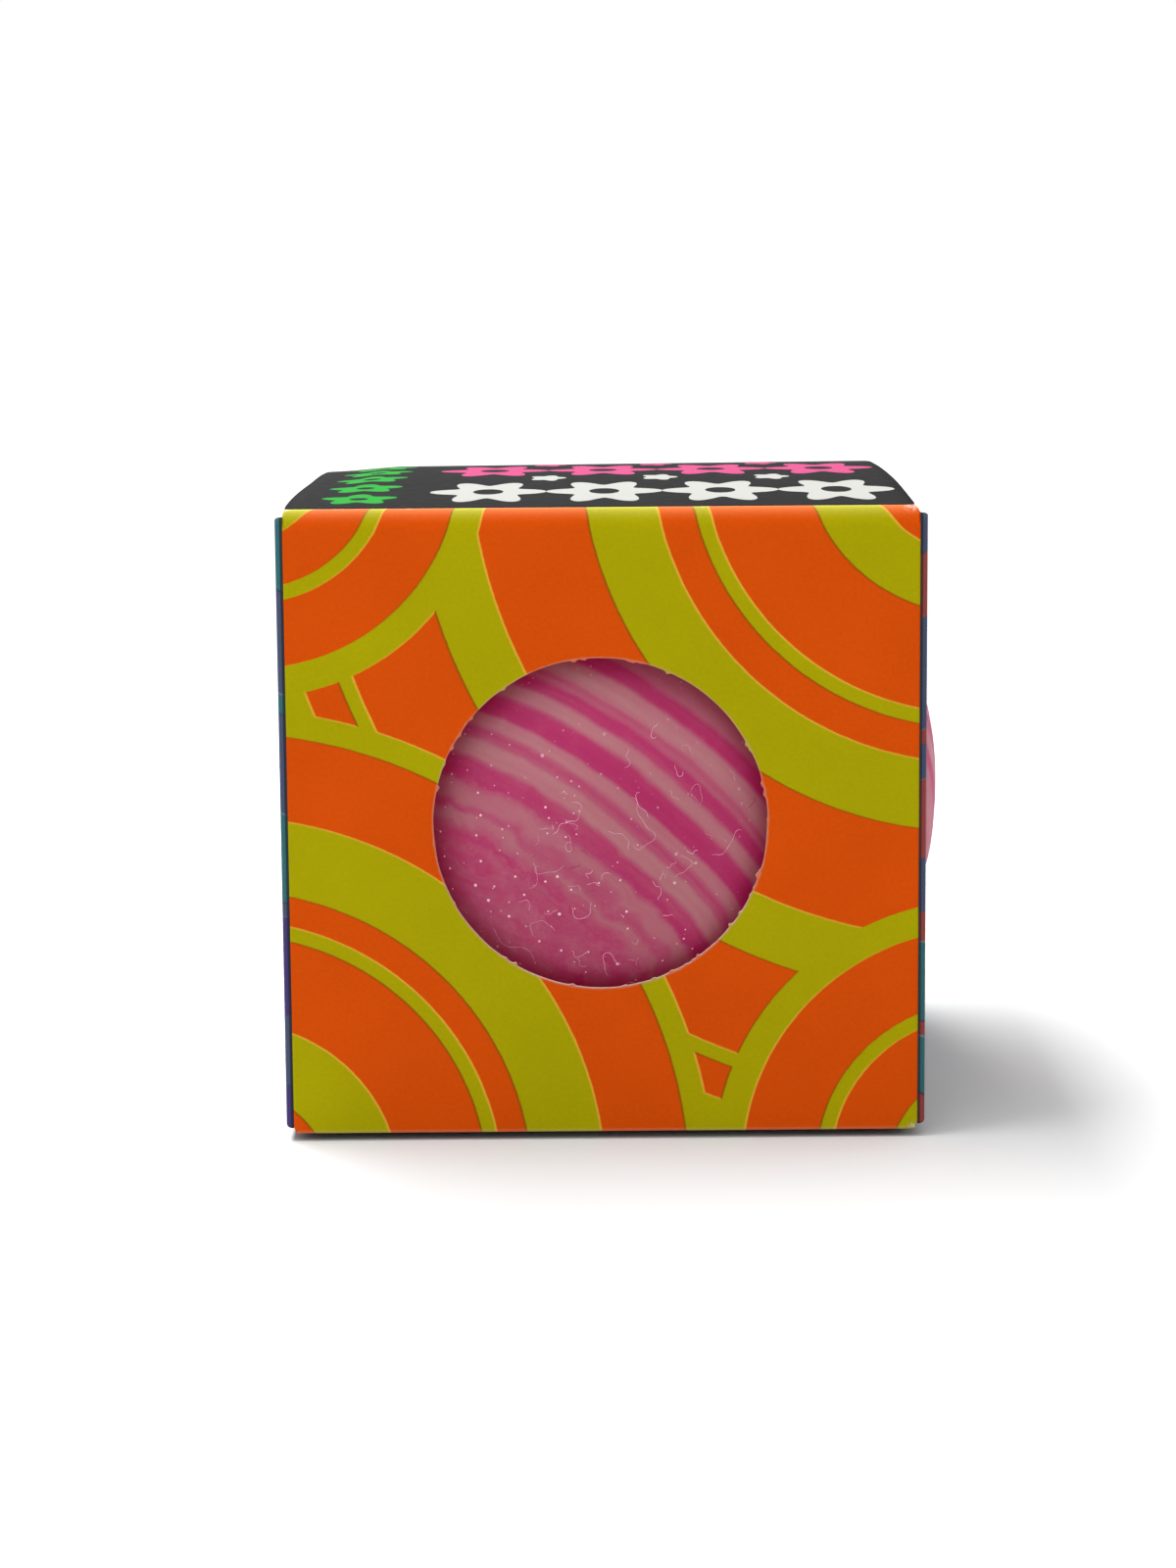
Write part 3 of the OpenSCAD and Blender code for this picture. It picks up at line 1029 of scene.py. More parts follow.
@dataclass
class CartonSleeve:
    """The four walls of the carton and the glue flap.

    Attributes:
        finishes: the part's finishes.
        half: outer half width and depth.
        height: outer height.
        board: thickness of the card.
        wall_half: half width of a wall's flat face.
        upright: radius of the upright folds.
        roll: how far the rolled folds at top and bottom reach inwards.
        rise: height of the rolled fold at the top.
        fall: height of the tighter one at the bottom.
        side_drop: how far the side panels stop short of the lid and base.
        window: radius of the windows.
        window_shift: how far the front window sits to the left.
        corner: how far a wall's corners are cut off at its top and bottom.
        border: width of the border along a wall's outline where the rings lie close.
        nibs: number of nibs on a window's rim.
        nib_sizes: the smallest and the largest nib.
        nib_half: half width of a nib.
        fold_over: how far the upright folds reach past the straight part.
        fold_drop: how much lower they are beside the wall's face.
        back_end: where the back panel's raw edge stands, along the wall.
        back_short: how far the back panel stops short of the lid.
        back_dip: how much lower its top is where the lid droops.
        warp: how far the panels are out of flat.
        calm: distance from a fold over which the warp dies out.
        glue_wide: width of the glue flap.
        glue_slope: how far each of its ends slopes in.
        glue_short: how far it stops short of the carton's top and bottom.
    """

    finishes: Finishes
    half: float = 32.5
    height: float = 63.6
    board: float = 0.5
    wall_half: float = 31.7
    upright: float = 0.8
    roll: float = 1.0
    rise: float = 2.2
    fall: float = 0.25
    side_drop: float = 0.8
    window: float = 16.8
    window_shift: float = 0.3
    corner: float = 0.6
    border: float = 2.6
    nibs: int = 36
    nib_sizes: tuple[float, float] = (0.06, 0.27)
    nib_half: float = 0.2
    fold_over: float = 1.1
    fold_drop: float = 0.3
    back_end: float = 31.2
    back_short: float = 0.3
    back_dip: float = 0.6
    warp: float = 0.07
    calm: float = 9.0
    glue_wide: float = 14.0
    glue_slope: float = 5.0
    glue_short: float = 3.0

    @property
    def middle(self) -> float:
        """Half height of the carton."""
        return self.height / 2

    @property
    def side_flat(self) -> float:
        """Half height of a side panel without its rolled folds' depth."""
        return self.middle - self.side_drop - self.roll

    def tall(self, up: Array) -> Array:
        """Height of the rolled fold that a place up the wall belongs to."""
        return np.where(up > 0, self.rise, self.fall)

    def limit(self, flat: float, up: Array) -> Array:
        """Height on the blank where a wall's rolled fold ends: the straight part and the fold's length.

        Args:
            flat: half height of the wall without its rolled folds' depth.
            up: place up the wall, whose sign picks the fold.

        Returns:
            The height, which is positive for both folds.
        """
        tall = self.tall(up)
        length = QUARTER * np.sqrt((tall ** 2 + self.roll ** 2) / 2)
        return flat + self.roll - tall + length

    def rolled(self, wall: Wall, along: Array, up: Array, flat: float, seed: int) -> tuple[Array, Array]:
        """Fold a flat wall inwards at its top and bottom.

        Between the two folds the wall is straight. In a fold the distance on the blank becomes the angle of
        a quarter ellipse, as deep as roll and as tall as rise or fall. Slow ripples make the flat uneven.

        Args:
            wall: which wall.
            along: place along the wall, on the blank.
            up: place up the wall from its middle, on the blank.
            flat: half height of the wall without its rolled folds' depth.
            seed: fixes the ripples.

        Returns:
            Points and unit normals.
        """
        tall, sign, high = self.tall(up), np.sign(up), np.abs(up)
        start = flat + self.roll - tall
        angle = np.clip((high - start) / (self.limit(flat, up) - start), 0, 1) * QUARTER
        still = eased(0, self.calm, start - high) * eased(0, self.calm, self.wall_half - np.abs(along))
        ripple = self.warp * still * ripples(along, up, 34.0, seed)
        out = self.half - self.roll * (1 - np.cos(angle)) + ripple
        height = self.middle + sign * (np.minimum(high, start) + tall * np.sin(angle))
        lean, face = self.roll * np.sin(angle), tall * np.cos(angle)
        size = np.hypot(lean, face)
        return wall.place(along, out, height), wall.place(np.zeros_like(along), face / size, sign * lean / size)

    def windowed(self, wall: Wall, shift: float, flat: float, seed: int, wear: Spots) -> Surface:
        """Make a wall with a round window: rays from the window's ragged rim to the outline of the wall.

        The outline is a rectangle on the blank with its corners cut. Each ray has rings that crowd
        towards the outline, so that the rolled folds stay round.

        Args:
            wall: which wall.
            shift: place of the window along the wall.
            flat: half height of the straight part.
            seed: fixes the ragged rim and the ripples.
            wear: rubbed places: along, up and reach in mm.

        Returns:
            The closed skin.
        """
        top, foot = float(self.limit(flat, 1.0)), float(self.limit(flat, -1.0))
        wide, cut, high = self.wall_half, self.corner, flat + 0.1
        corners = np.array([
            (wide, -high), (wide, high), (wide - cut, top), (cut / 2 - wide, top),
            (-wide, high), (-wide, -high), (cut - wide, -foot), (wide - cut, -foot),
        ])
        sides = zip(corners, np.roll(corners, -1, axis=0), [(150, 0.35), (14, 1.0)] * 4)
        edge = np.concatenate([a + (b - a) * crowded(*steps)[:, None] for a, b, steps in sides])
        ray = edge - np.array([shift, 0.0])
        reach = np.linalg.norm(ray, axis=1)
        aim = ray / reach[:, None]
        rim = self.window + self.ragged(np.arctan2(aim[:, 1], aim[:, 0]), seed)
        last = np.minimum(self.border / np.abs(aim).max(1), 0.5 * (reach - rim))
        near = np.concatenate([[0.0, 0.004, 0.012], np.linspace(0.03, 1, 13)])
        radii = np.concatenate([
            rim[:, None] + (reach - last - rim)[:, None] * near,
            (reach - last)[:, None] + last[:, None] * np.linspace(0, 1, 15)[1:],
        ], axis=1)
        along, up = shift + aim[:, 0, None] * radii, aim[:, 1, None] * radii
        points, normals = self.rolled(wall, along, up, flat, seed)
        return card_shell(points, normals, self.on_sheet(along, up, wear), self.board, wrap=True)

    def ragged(self, angle: Array, seed: int) -> Array:
        """Unevenness of the die-cut rim: faint waves, less a narrow bell for each nib that stands inwards.

        Args:
            angle: direction from the window's middle.
            seed: fixes the nibs.

        Returns:
            Change of radius, mm.
        """
        rng = np.random.default_rng(SEED + 70 + seed)
        wave = 0.03 * ripples(np.cos(angle) * 10, np.sin(angle) * 10, 2.6, seed + 9)
        spots = rng.uniform(-np.pi, np.pi, self.nibs)
        sizes = rng.uniform(*self.nib_sizes, self.nibs)
        gap = np.abs((angle[:, None] - spots + np.pi) % (2 * np.pi) - np.pi) * self.window
        return wave - (sizes * np.exp(-((gap / self.nib_half) ** 2))).sum(1)

    @staticmethod
    def on_sheet(along: Array, up: Array, wear: Spots = ()) -> Array:
        """Pack the place on the blank with how rubbed it is: a bell round each rubbed place.

        Args:
            along: place along the wall.
            up: place up the wall.
            wear: along, up and reach of each rubbed place.

        Returns:
            Three numbers per point.
        """
        along, up = np.broadcast_arrays(along, up)
        rubbed = np.zeros(along.shape)
        for a, u, reach in wear:
            rubbed = np.maximum(rubbed, np.exp(-((along - a) ** 2 + (up - u) ** 2) / reach ** 2))
        return np.stack([along, up, rubbed], -1)

    def closed_wall(self, wall: Wall, flat: float, seed: int, wear: Spots) -> Surface:
        """Make a wall without a window, rolled inwards at its top and bottom, with its corners drawn in.

        Args:
            wall: which wall.
            flat: half height of the straight part.
            seed: fixes the ripples.
            wear: rubbed places.

        Returns:
            The closed skin.
        """
        top, foot = float(self.limit(flat, 1.0)), float(self.limit(flat, -1.0))
        head, heel = flat + self.roll - self.rise, flat + self.roll - self.fall
        straight = np.linspace(-heel, head, 42)[1:-1]
        up = np.concatenate([np.linspace(-foot, -heel, 10), straight, np.linspace(head, top, 14)])
        along = np.linspace(-1, 1, 44)[:, None] * (self.wall_half - 0.4 * eased(flat, top, np.abs(up)))
        points, normals = self.rolled(wall, along, np.broadcast_to(up, along.shape), flat, seed)
        return card_shell(points, normals, self.on_sheet(along, up, wear), self.board)

    def upright_fold(self, wall: Wall, side: int, flat: float, wear: Spots) -> Surface:
        """Make a wall's upright fold: a quarter turn of the upright radius, drawn from bottom to top.

        Beside the wall's face its ends are lower, by the fourth power of the turn's cosine.

        Args:
            wall: wall that the fold belongs to.
            side: -1 or 1, the end of the wall.
            flat: half height of the wall's straight part.
            wear: rubbed places.

        Returns:
            The closed skin, whose cut ends are inked.
        """
        turn = np.linspace(0, QUARTER, 13)[:, None]
        ends, straight = np.linspace(0.97, 1, 6), np.linspace(-0.97, 0.97, 40)[1:-1]
        tall = flat + self.fold_over - self.fold_drop * np.cos(turn) ** 4
        up = np.concatenate([-ends[::-1], straight, ends]) * tall
        along = side * (self.wall_half + self.upright * np.sin(turn))
        out = self.half - self.upright * (1 - np.cos(turn))
        points = wall.place(along, out, self.middle + up)
        normals = wall.place(side * np.sin(turn), np.cos(turn), np.zeros_like(up))
        sheet = self.on_sheet(side * (self.wall_half + self.upright * turn), up, wear)
        return card_shell(points, normals, sheet, self.board, cut=Face.PRINT)

    def settle(self, node: str, skin: Surface, printed: Material, slot: str) -> None:
        """Dress a wall and tie it to its CAD node."""
        Piece(f"{node}_card", "carton", node, slot).settle(skin, self.finishes.card(printed))

    def front_panel(self) -> None:
        """Build and dress the front panel."""
        wear = [(30.8, 31.7, 0.85), (31.5, -31.6, 0.9), (10.0, 32.3, 0.5), (-19.0, 32.3, 0.5), (-31.3, 32.0, 0.5)]
        skin = self.windowed(Wall.FRONT, -self.window_shift, self.middle - self.roll, 1, wear)
        self.settle("front_panel", skin, self.finishes.front, "card_orange")

    def right_panel(self) -> None:
        """Build and dress the right panel, with its two upright folds."""
        flat, wear = self.side_flat, [(32.4, 30.6, 0.7)]
        folds = [self.upright_fold(Wall.RIGHT, side, flat, wear) for side in (-1, 1)]
        skin = Surface.join([self.windowed(Wall.RIGHT, 0.0, flat, 2, wear), *folds])
        self.settle("right_panel", skin, self.finishes.right, "card_blue")

    def left_panel(self) -> None:
        """Build and dress the left panel, with its upright fold at the front."""
        flat, wear = self.side_flat, [(-31.4, 31.4, 0.7)]
        fold = self.upright_fold(Wall.LEFT, 1, flat, wear)
        skin = Surface.join([self.closed_wall(Wall.LEFT, flat, 3, wear), fold])
        self.settle("left_panel", skin, self.finishes.left, "card_blue")

    def back_panel(self) -> None:
        """Build and dress the back panel: a sheet with slow ripples and raw edges, lower where the lid droops."""
        near, far, top = -self.wall_half, self.back_end, self.height - self.back_short
        along = np.linspace(near, far, 40)[:, None]
        up = np.linspace(0, 1, 40)[None, :] * (top - self.back_dip * eased(16.0, 30.0, along))
        gaps = np.stack(np.broadcast_arrays(along - near, far - along, up, top - up))
        still = eased(0, self.calm, gaps).prod(0)
        points = Wall.BACK.place(along, self.half + self.warp * still * ripples(along, up, 36.0, 4), up)
        normals = np.broadcast_to(np.array(Wall.BACK.value[1], float), points.shape)
        sheet = self.on_sheet(along, up - self.middle, [(31.2, 31.5, 1.0), (-31.7, 31.5, 0.8), (31.2, -31.8, 0.9)])
        self.settle("back_panel", card_shell(points, normals, sheet, self.board), self.finishes.back, "card_orange")

    def glue_flap(self) -> None:
        """Build and dress the glue flap: a quarter turn from the back panel, then a strip with sloped ends."""
        inner, low, high = self.half - self.board, self.glue_short, self.height - self.glue_short
        run = np.append(np.zeros(12), np.linspace(0, self.glue_wide, 16)[1:])[:, None]
        turn = np.append(np.linspace(0, QUARTER, 12), np.full(15, QUARTER))[:, None]
        x = self.upright - inner - self.upright * np.sin(turn)
        y = self.wall_half + self.upright * np.cos(turn) - run
        draw = self.glue_slope * run / self.glue_wide
        z = low + draw + (high - low - 2 * draw) * np.linspace(0, 1, 30)[None, :]
        normals = stacked(-np.sin(turn), np.cos(turn), np.zeros_like(z))
        sheet = self.on_sheet(turn * self.upright + run, z)
        skin = card_shell(stacked(x, y, z), normals, sheet, self.board)
        self.settle("glue_flap", skin, self.finishes.flap, "card_plain")

    def build(self) -> None:
        """Build and dress the whole sleeve."""
        for wall in (self.front_panel, self.right_panel, self.left_panel, self.back_panel, self.glue_flap):
            wall()


@dataclass
class CartonClosure:
    """The lid or base: its panel, its tuck flap and its two dust flaps.

    Attributes:
        finishes: the part's finishes.
        end: which end of the carton.
        height: outer height of the carton.
        board: thickness of the card.
        half: half width of the panel.
        front: Y of its crease at the front panel.
        back: Y of its fold at the back.
        bow: how far the lid stands up in the middle.
        sag: how far the base, which carries the ball, stands down in the middle.
        twist: how far the lid's back right corner stands above its back left one.
        droop: how far its left end hangs down at the back.
        uneven: height of its ripples.
        back_in: how far its back corners are drawn in.
        front_in: how far its front corners are drawn in.
        left_out: how far its left edge stands out towards the front.
        tuck_half: half width of the tuck flap.
        tuck_long: length of the tuck flap.
        tuck_round: radius of its free corners.
        tuck_flare: how much wider it is at its fold.
        tuck_ease: distance along it over which the panel's lift dies out.
        tuck_radius: radius of its fold.
        tuck_lean: degrees that it leans in from the back panel.
        dust_fold: X of the dust flaps' folds.
        dust_long: their length.
        dust_round: radius of their free back corner.
        dust_slope: how far their back edge slopes in before that corner.
        dust_near: Y of the fold's front end.
        dust_far: Y of its back end.
        dust_drop: depth of their outer face below the lid's.
        dust_uneven: height of their ripples.
    """

    finishes: Finishes
    end: End
    height: float = 63.6
    board: float = 0.5
    half: float = 31.3
    front: float = -31.49
    back: float = 30.7
    bow: float = 0.7
    sag: float = 0.65
    twist: float = 0.3
    droop: float = 0.5
    uneven: float = 0.03
    back_in: float = 0.5
    front_in: float = 0.1
    left_out: float = 0.3
    tuck_half: float = 29.8
    tuck_long: float = 12.0
    tuck_round: float = 5.0
    tuck_flare: float = 0.8
    tuck_ease: float = 14.0
    tuck_radius: float = 0.8
    tuck_lean: float = 10.0
    dust_fold: float = 31.5
    dust_long: float = 25.0
    dust_round: float = 5.0
    dust_slope: float = 4.0
    dust_near: float = -30.3
    dust_far: float = 27.5
    dust_drop: float = 0.8
    dust_uneven: float = 0.04

    @property
    def title(self) -> str:
        """Name of the end, as the CAD nodes have it."""
        return self.end.name.lower()

    def settle(self, piece: Piece, points: Array, normals: Array, sheet: Array, printed: Material) -> None:
        """Give a sheet drawn at the lid's end its thickness, mirrored for the base, and tie it to the CAD.

        Args:
            piece: what the sheet becomes.
            points: grid of its outer side.
            normals: unit normals of that grid.
            sheet: place on the blank and wear, per point.
            printed: finish of the outer side.
        """
        if self.end is End.BASE:
            points, normals = points * MIRROR + np.array([0.0, 0.0, self.height]), normals * MIRROR
        piece.settle(card_shell(points, normals, sheet, self.board), self.finishes.card(printed))

    def lift(self, x: Array, y: Array) -> Array:
        """How far the panel stands above flat.

        An arch from crease to crease is the base's sag or the lid's bow. The lid also has a twist, which grows
        with the square of the way back, a drooping left end, and slow ripples that die out at its creases.

        Args:
            x: place across the panel.
            y: place from its front to its back.

        Returns:
            The height.
        """
        share = (y - self.front) / (self.back - self.front)
        arch = 4 * share * (1 - share) + np.zeros_like(x)
        if self.end is End.BASE:
            return self.sag * arch
        droop = self.droop * eased(-22.0, -31.0, x) * eased(0.0, 0.6, share)
        still = eased(0, 0.1, share) * eased(0, 0.1, 1 - share)
        twist = self.twist * (x / self.half + 1) / 2 * share ** 2
        return self.bow * arch + twist - droop + self.uneven * ripples(x, y, 30.0, 6) * still

    def panel(self) -> None:
        """Build and dress the panel: a sheet raised by its lift, with slightly rounded back corners."""
        share = np.linspace(0, 1, 52)
        y = self.front + (self.back - self.front) * share[None, :]
        width = self.half - self.back_in * eased(0.965, 1.0, share) - self.front_in * eased(0.03, 0.0, share)
        even = np.linspace(-1, 1, 48)[:, None]
        x = even * width - self.left_out * np.maximum(-even, 0) * eased(0.6, 0.0, share)
        points = stacked(x, y, self.height + self.lift(x, y))
        normals = unit(np.cross(np.gradient(points, axis=0), np.gradient(points, axis=1)))
        sheet = CartonSleeve.on_sheet(x, y, [(31.3, -31.5, 0.8), (30.9, 30.6, 0.9), (-30.9, 30.6, 0.7)])
        printed = self.finishes.lid if self.end is End.LID else self.finishes.black
        piece = Piece(f"{self.title}_panel_card", self.title, f"{self.title}_panel", "card_black")
        self.settle(piece, points, normals, sheet, printed)

    def tuck_flap(self) -> None:
        """Build and dress the tuck flap: an arc off the panel's back edge, then a straight leaning tongue.

        The half width narrows as a quarter circle towards the free end.
        """
        lean, bend, curve = math.radians(self.tuck_lean), self.tuck_radius, self.tuck_round
        straight = self.tuck_long - curve
        tip = straight + curve * np.sin(np.linspace(0, QUARTER, 12))[1:]
        run = np.concatenate([np.zeros(16), np.linspace(0, straight, 8)[1:], tip])
        turn = np.append(np.linspace(QUARTER, -lean, 16), np.full(len(run) - 16, -lean))
        y = self.back + bend * np.cos(turn) - run * math.sin(lean)
        z = self.height - bend + bend * np.sin(turn) - run * math.cos(lean)
        way = (QUARTER - turn) * bend + run
        past = np.maximum(run - straight, 0)
        width = self.tuck_half - curve + np.sqrt(np.maximum(curve ** 2 - past ** 2, 0))
        x = np.linspace(-1, 1, 40)[:, None] * (width + self.tuck_flare * eased(bend, 0.0, way))
        raised = self.lift(x, np.full_like(x, self.back)) * eased(self.tuck_ease, 0.0, way)
        normals = stacked(np.zeros_like(x), np.cos(turn), np.sin(turn))
        sheet = CartonSleeve.on_sheet(x, way, [(30.5, 0.4, 0.9), (-30.5, 0.4, 0.9)])
        printed = self.finishes.tuck if self.end is End.LID else self.finishes.black
        title = f"{self.title}_tuck"
        self.settle(Piece(f"{title}_card", title, f"{title}_flap", "card_black"),
                    stacked(x, y, z + raised), normals, sheet, printed)

    def dust_flap(self, side: Side) -> None:
        """Build and dress a dust flap: a sheet ruled from its mitred front edge to its sloped back edge.

        Args:
            side: which side of the carton.
        """
        curve, slope = self.dust_round, self.dust_slope
        straight = self.dust_long - curve
        tip = straight + curve * np.sin(np.linspace(0, QUARTER, 12))[1:]
        out = np.append(np.linspace(0, straight, 22), tip)[:, None]
        bent = np.sqrt(np.maximum(curve ** 2 - np.maximum(out - straight, 0) ** 2, 0))
        near = self.dust_near + out
        far = self.dust_far - slope * np.minimum(out / straight, 1) - curve + bent
        y = near + (far - near) * np.linspace(0, 1, 34)[None, :]
        x = np.broadcast_to((self.dust_fold - out) * side.value, y.shape)
        ripple = self.dust_uneven * np.sin(out / self.dust_long * np.pi) * ripples(x, y, 26.0, 12 + side.value)
        points = stacked(x, y, self.height - self.dust_drop + ripple)
        normals = np.broadcast_to(np.array([0.0, 0.0, 1.0]), points.shape)
        hand = side.name.lower()
        title = f"{self.title}_dust_{hand}"
        self.settle(Piece(f"{title}_card", title, f"{self.title}_dust_flap_{hand}", "card_plain"),
                    points, normals, CartonSleeve.on_sheet(out, y), self.finishes.flap)

    def build(self) -> None:
        """Build and dress the closure."""
        self.panel()
        self.tuck_flap()
        for side in Side:
            self.dust_flap(side)


@dataclass
class SqueezeBall:
    """The soft ball: its marbled skin, its filling, the plug of its filling hole and the lint that sticks to it.

    Attributes:
        finishes: the part's finishes.
        middle: middle of the ball.
        radius: half width where nothing presses on it.
        half_height: half height, pressed between the dust flaps.
        power: how square the pressed outline is; 2 is an ellipse.
        left: X of the left panel's side, where it is flat.
        back: Y of the back panel's side, where it is flat.
        skin: thickness of the skin.
        plug: diameter of the plug.
        slump: how far the front has shifted towards the middle of its window.
        swell: how far it fills out behind the window's rim.
        recess: how far the whole front is pushed back by the panel.
        bulge: how far the skin hangs out low in the right window.
        front_zone: Y where the front's shaping begins, and where it is full.
        right_zone: X where the bulge begins, and where it is full.
        ring: radius and width of the swell, round the front window's middle.
        window_x: X of that middle.
        window: radius of the windows, about.
        lean: share by which the swell is stronger at the window's foot.
        bulge_at: height of the bulge from the middle, and its reach upwards and sideways.
        soft: half width of the round corner where a panel begins to flatten the ball.
    """

    finishes: Finishes
    middle: Point = (2.1, -0.3, 31.8)
    radius: float = 34.0
    half_height: float = 30.2
    power: float = 2.2
    left: float = -31.6
    back: float = 31.6
    skin: float = 3.4
    plug: float = 9.0
    slump: float = 1.9
    swell: float = 0.7
    recess: float = 0.9
    bulge: float = 0.5
    front_zone: tuple[float, float] = (-12.0, -24.0)
    right_zone: tuple[float, float] = (18.0, 28.0)
    ring: tuple[float, float] = (16.0, 6.0)
    window_x: float = -0.3
    window: float = 17.0
    lean: float = 0.45
    bulge_at: Point = (-9.5, 4.5, 8.0)
    soft: float = 0.16

    def outline(self, angle: Array, inset: float) -> tuple[Array, Array]:
        """Half outline: the superellipse whose width and half height are drawn in by inset.

        Args:
            angle: height angle, from -90 to 90 degrees in radians.
            inset: how far inside the skin's outer side.

        Returns:
            Distance from the upright axis, and height from the middle.
        """
        wide = np.abs(np.cos(angle)) / (self.radius - inset)
        tall = np.abs(np.sin(angle)) / (self.half_height - inset)
        reach = (wide ** self.power + tall ** self.power) ** (-1 / self.power)
        return reach * np.cos(angle), reach * np.sin(angle)

    def pressed(self, points: Array, inset: float) -> Array:
        """Flatten points against the left and back panels, and shape the front and the right in their windows.

        The front is moved towards its window's middle and pushed back, less a bell over the distance from the
        window's rim, which is taller low down. Low in the right window another bell hangs out. A coordinate is
        held at a panel by a soft limit: the mean of the coordinate and the limit, less half of a root that
        keeps the corner between them round.

        Args:
            points: points about the carton's origin.
            inset: how far inside the skin's outer side.

        Returns:
            The pressed points.
        """
        made = points.copy()
        x, y, z = (made[..., i] for i in range(3))
        tall = z - self.middle[2]
        (radius, width), (level, above, beside) = self.ring, self.bulge_at
        fore = eased(*self.front_zone, y)
        x -= self.slump * fore
        ring = np.exp(-(((np.hypot(x - self.window_x, tall) - radius) / width) ** 2))
        low = np.exp(-(((tall - level) / above) ** 2) - (y / beside) ** 2)
        x += self.bulge * low * eased(*self.right_zone, x)
        y += fore * (self.recess - self.swell * (1 - self.lean * tall / self.window) * ring)
        for axis, limit, sign in ((0, -(self.left + inset), -1), (1, self.back - inset, 1)):
            value = sign * made[..., axis]
            made[..., axis] = sign * ((value + limit) / 2 - np.sqrt(((value - limit) / 2) ** 2 + self.soft ** 2))
        return made

    def revolved(self, radius: Array, height: Array, around: int, inset: float, lumps: float) -> Surface:
        """Carry a half outline, from bottom pole to top pole, round the ball's upright axis.

        Args:
            radius: distance from the axis.
            height: height from the middle.
            around: steps of the turn.
            inset: how far inside the skin's outer side.
            lumps: height of the soft unevenness.

        Returns:
            The skin, closed at its poles by triangles.
        """
        turn = np.linspace(0, 2 * np.pi, around, endpoint=False)[:, None]
        r, z = radius[None, 1:-1], height[None, 1:-1]
        uneven = 1 + lumps / self.radius * ripples(np.cos(turn) * r, np.sin(turn) * r + 1.7 * z, 23.0, 31)
        grid = stacked(r * np.cos(turn) * uneven, r * np.sin(turn) * uneven, z)
        rows, cols = grid.shape[:2]
        poles = np.array([[0, 0, height[0]], [0, 0, height[-1]]])
        points = self.pressed(np.concatenate([grid.reshape(-1, 3), poles]) + np.array(self.middle), inset)
        i = np.arange(rows)
        n = (i + 1) % rows
        south = np.stack([n * cols, i * cols, np.full(rows, rows * cols)], -1)
        north = np.stack([i * cols + cols - 1, n * cols + cols - 1, np.full(rows, rows * cols + 1)], -1)
        return Surface.plain(points, lattice(rows, cols, wrap=True), np.concatenate([south, north]))

    def shell(self) -> None:
        """Build and dress the skin: an outer side with a round pocket for the plug, and an inner side."""
        rim, floor, lip, deep, steps = self.plug / 2, -self.half_height, 0.9, 2.6, 132
        radius, height = self.outline(np.linspace(-QUARTER, QUARTER, steps), 0.0)
        keep = (radius > rim + lip) | (np.arange(steps) >= steps // 2)
        pocket = np.array([
            (0.0, deep), (rim * 0.5, deep), (rim + 0.02, deep), (rim + 0.03, 1.4), (rim + 0.04, 0.45),
            (rim + 0.22, 0.14), (rim + 0.55, 0.03),
        ])
        radius = np.concatenate([pocket[:, 0], radius[keep]])
        height = np.concatenate([pocket[:, 1] + floor, height[keep]])
        inner, low = self.outline(np.linspace(-QUARTER, QUARTER, 50), self.skin - 0.05)
        inside = self.revolved(inner, np.maximum(low, floor + self.skin), 96, self.skin, 0.0)
        skin = Surface.join([self.revolved(radius, height, 220, 0.0, 0.1), inside.flipped()])
        made = Piece("ball_soft_skin", "ball", "ball_skin", "soft_skin").settle(skin, (self.finishes.skin,))

    def filling(self) -> None:
        """Build and dress the filling: the same outline inside the skin, a little lumpy as dough is."""
        inset, flat = self.skin + 0.25, 30.5
        radius, height = self.outline(np.linspace(-QUARTER, QUARTER, 60), inset)
        skin = self.revolved(radius, height, 110, inset, 0.15)
        skin.points[:, 0] = np.minimum(skin.points[:, 0], flat)
        skin.points[:, 1] = np.maximum(skin.points[:, 1], -flat)
        made = Piece("ball_dough", "ball", "ball_filling", "dough").settle(skin, (self.finishes.dough,))

    def stopper(self) -> None:
        """Build and dress the plug: a disc with a rounded rim and a small moulding nub, turned round its axis."""
        rim = self.plug / 2 - 0.05
        outline = np.array([
            (0.0, 0.02), (0.5, 0.02), (0.7, 0.06), (0.78, 0.2), (1.1, 0.24), (rim - 0.7, 0.24), (rim - 0.35, 0.28),
            (rim - 0.1, 0.42), (rim, 0.7), (rim, 2.45), (rim - 0.2, 2.55), (0.0, 2.55),
        ])
        skin = self.revolved(outline[:, 0], outline[:, 1] - self.half_height, 72, 0.0, 0.0)
        Piece("ball_stopper", "ball", "fill_plug", "soft_plug").settle(skin, (self.finishes.plug,))

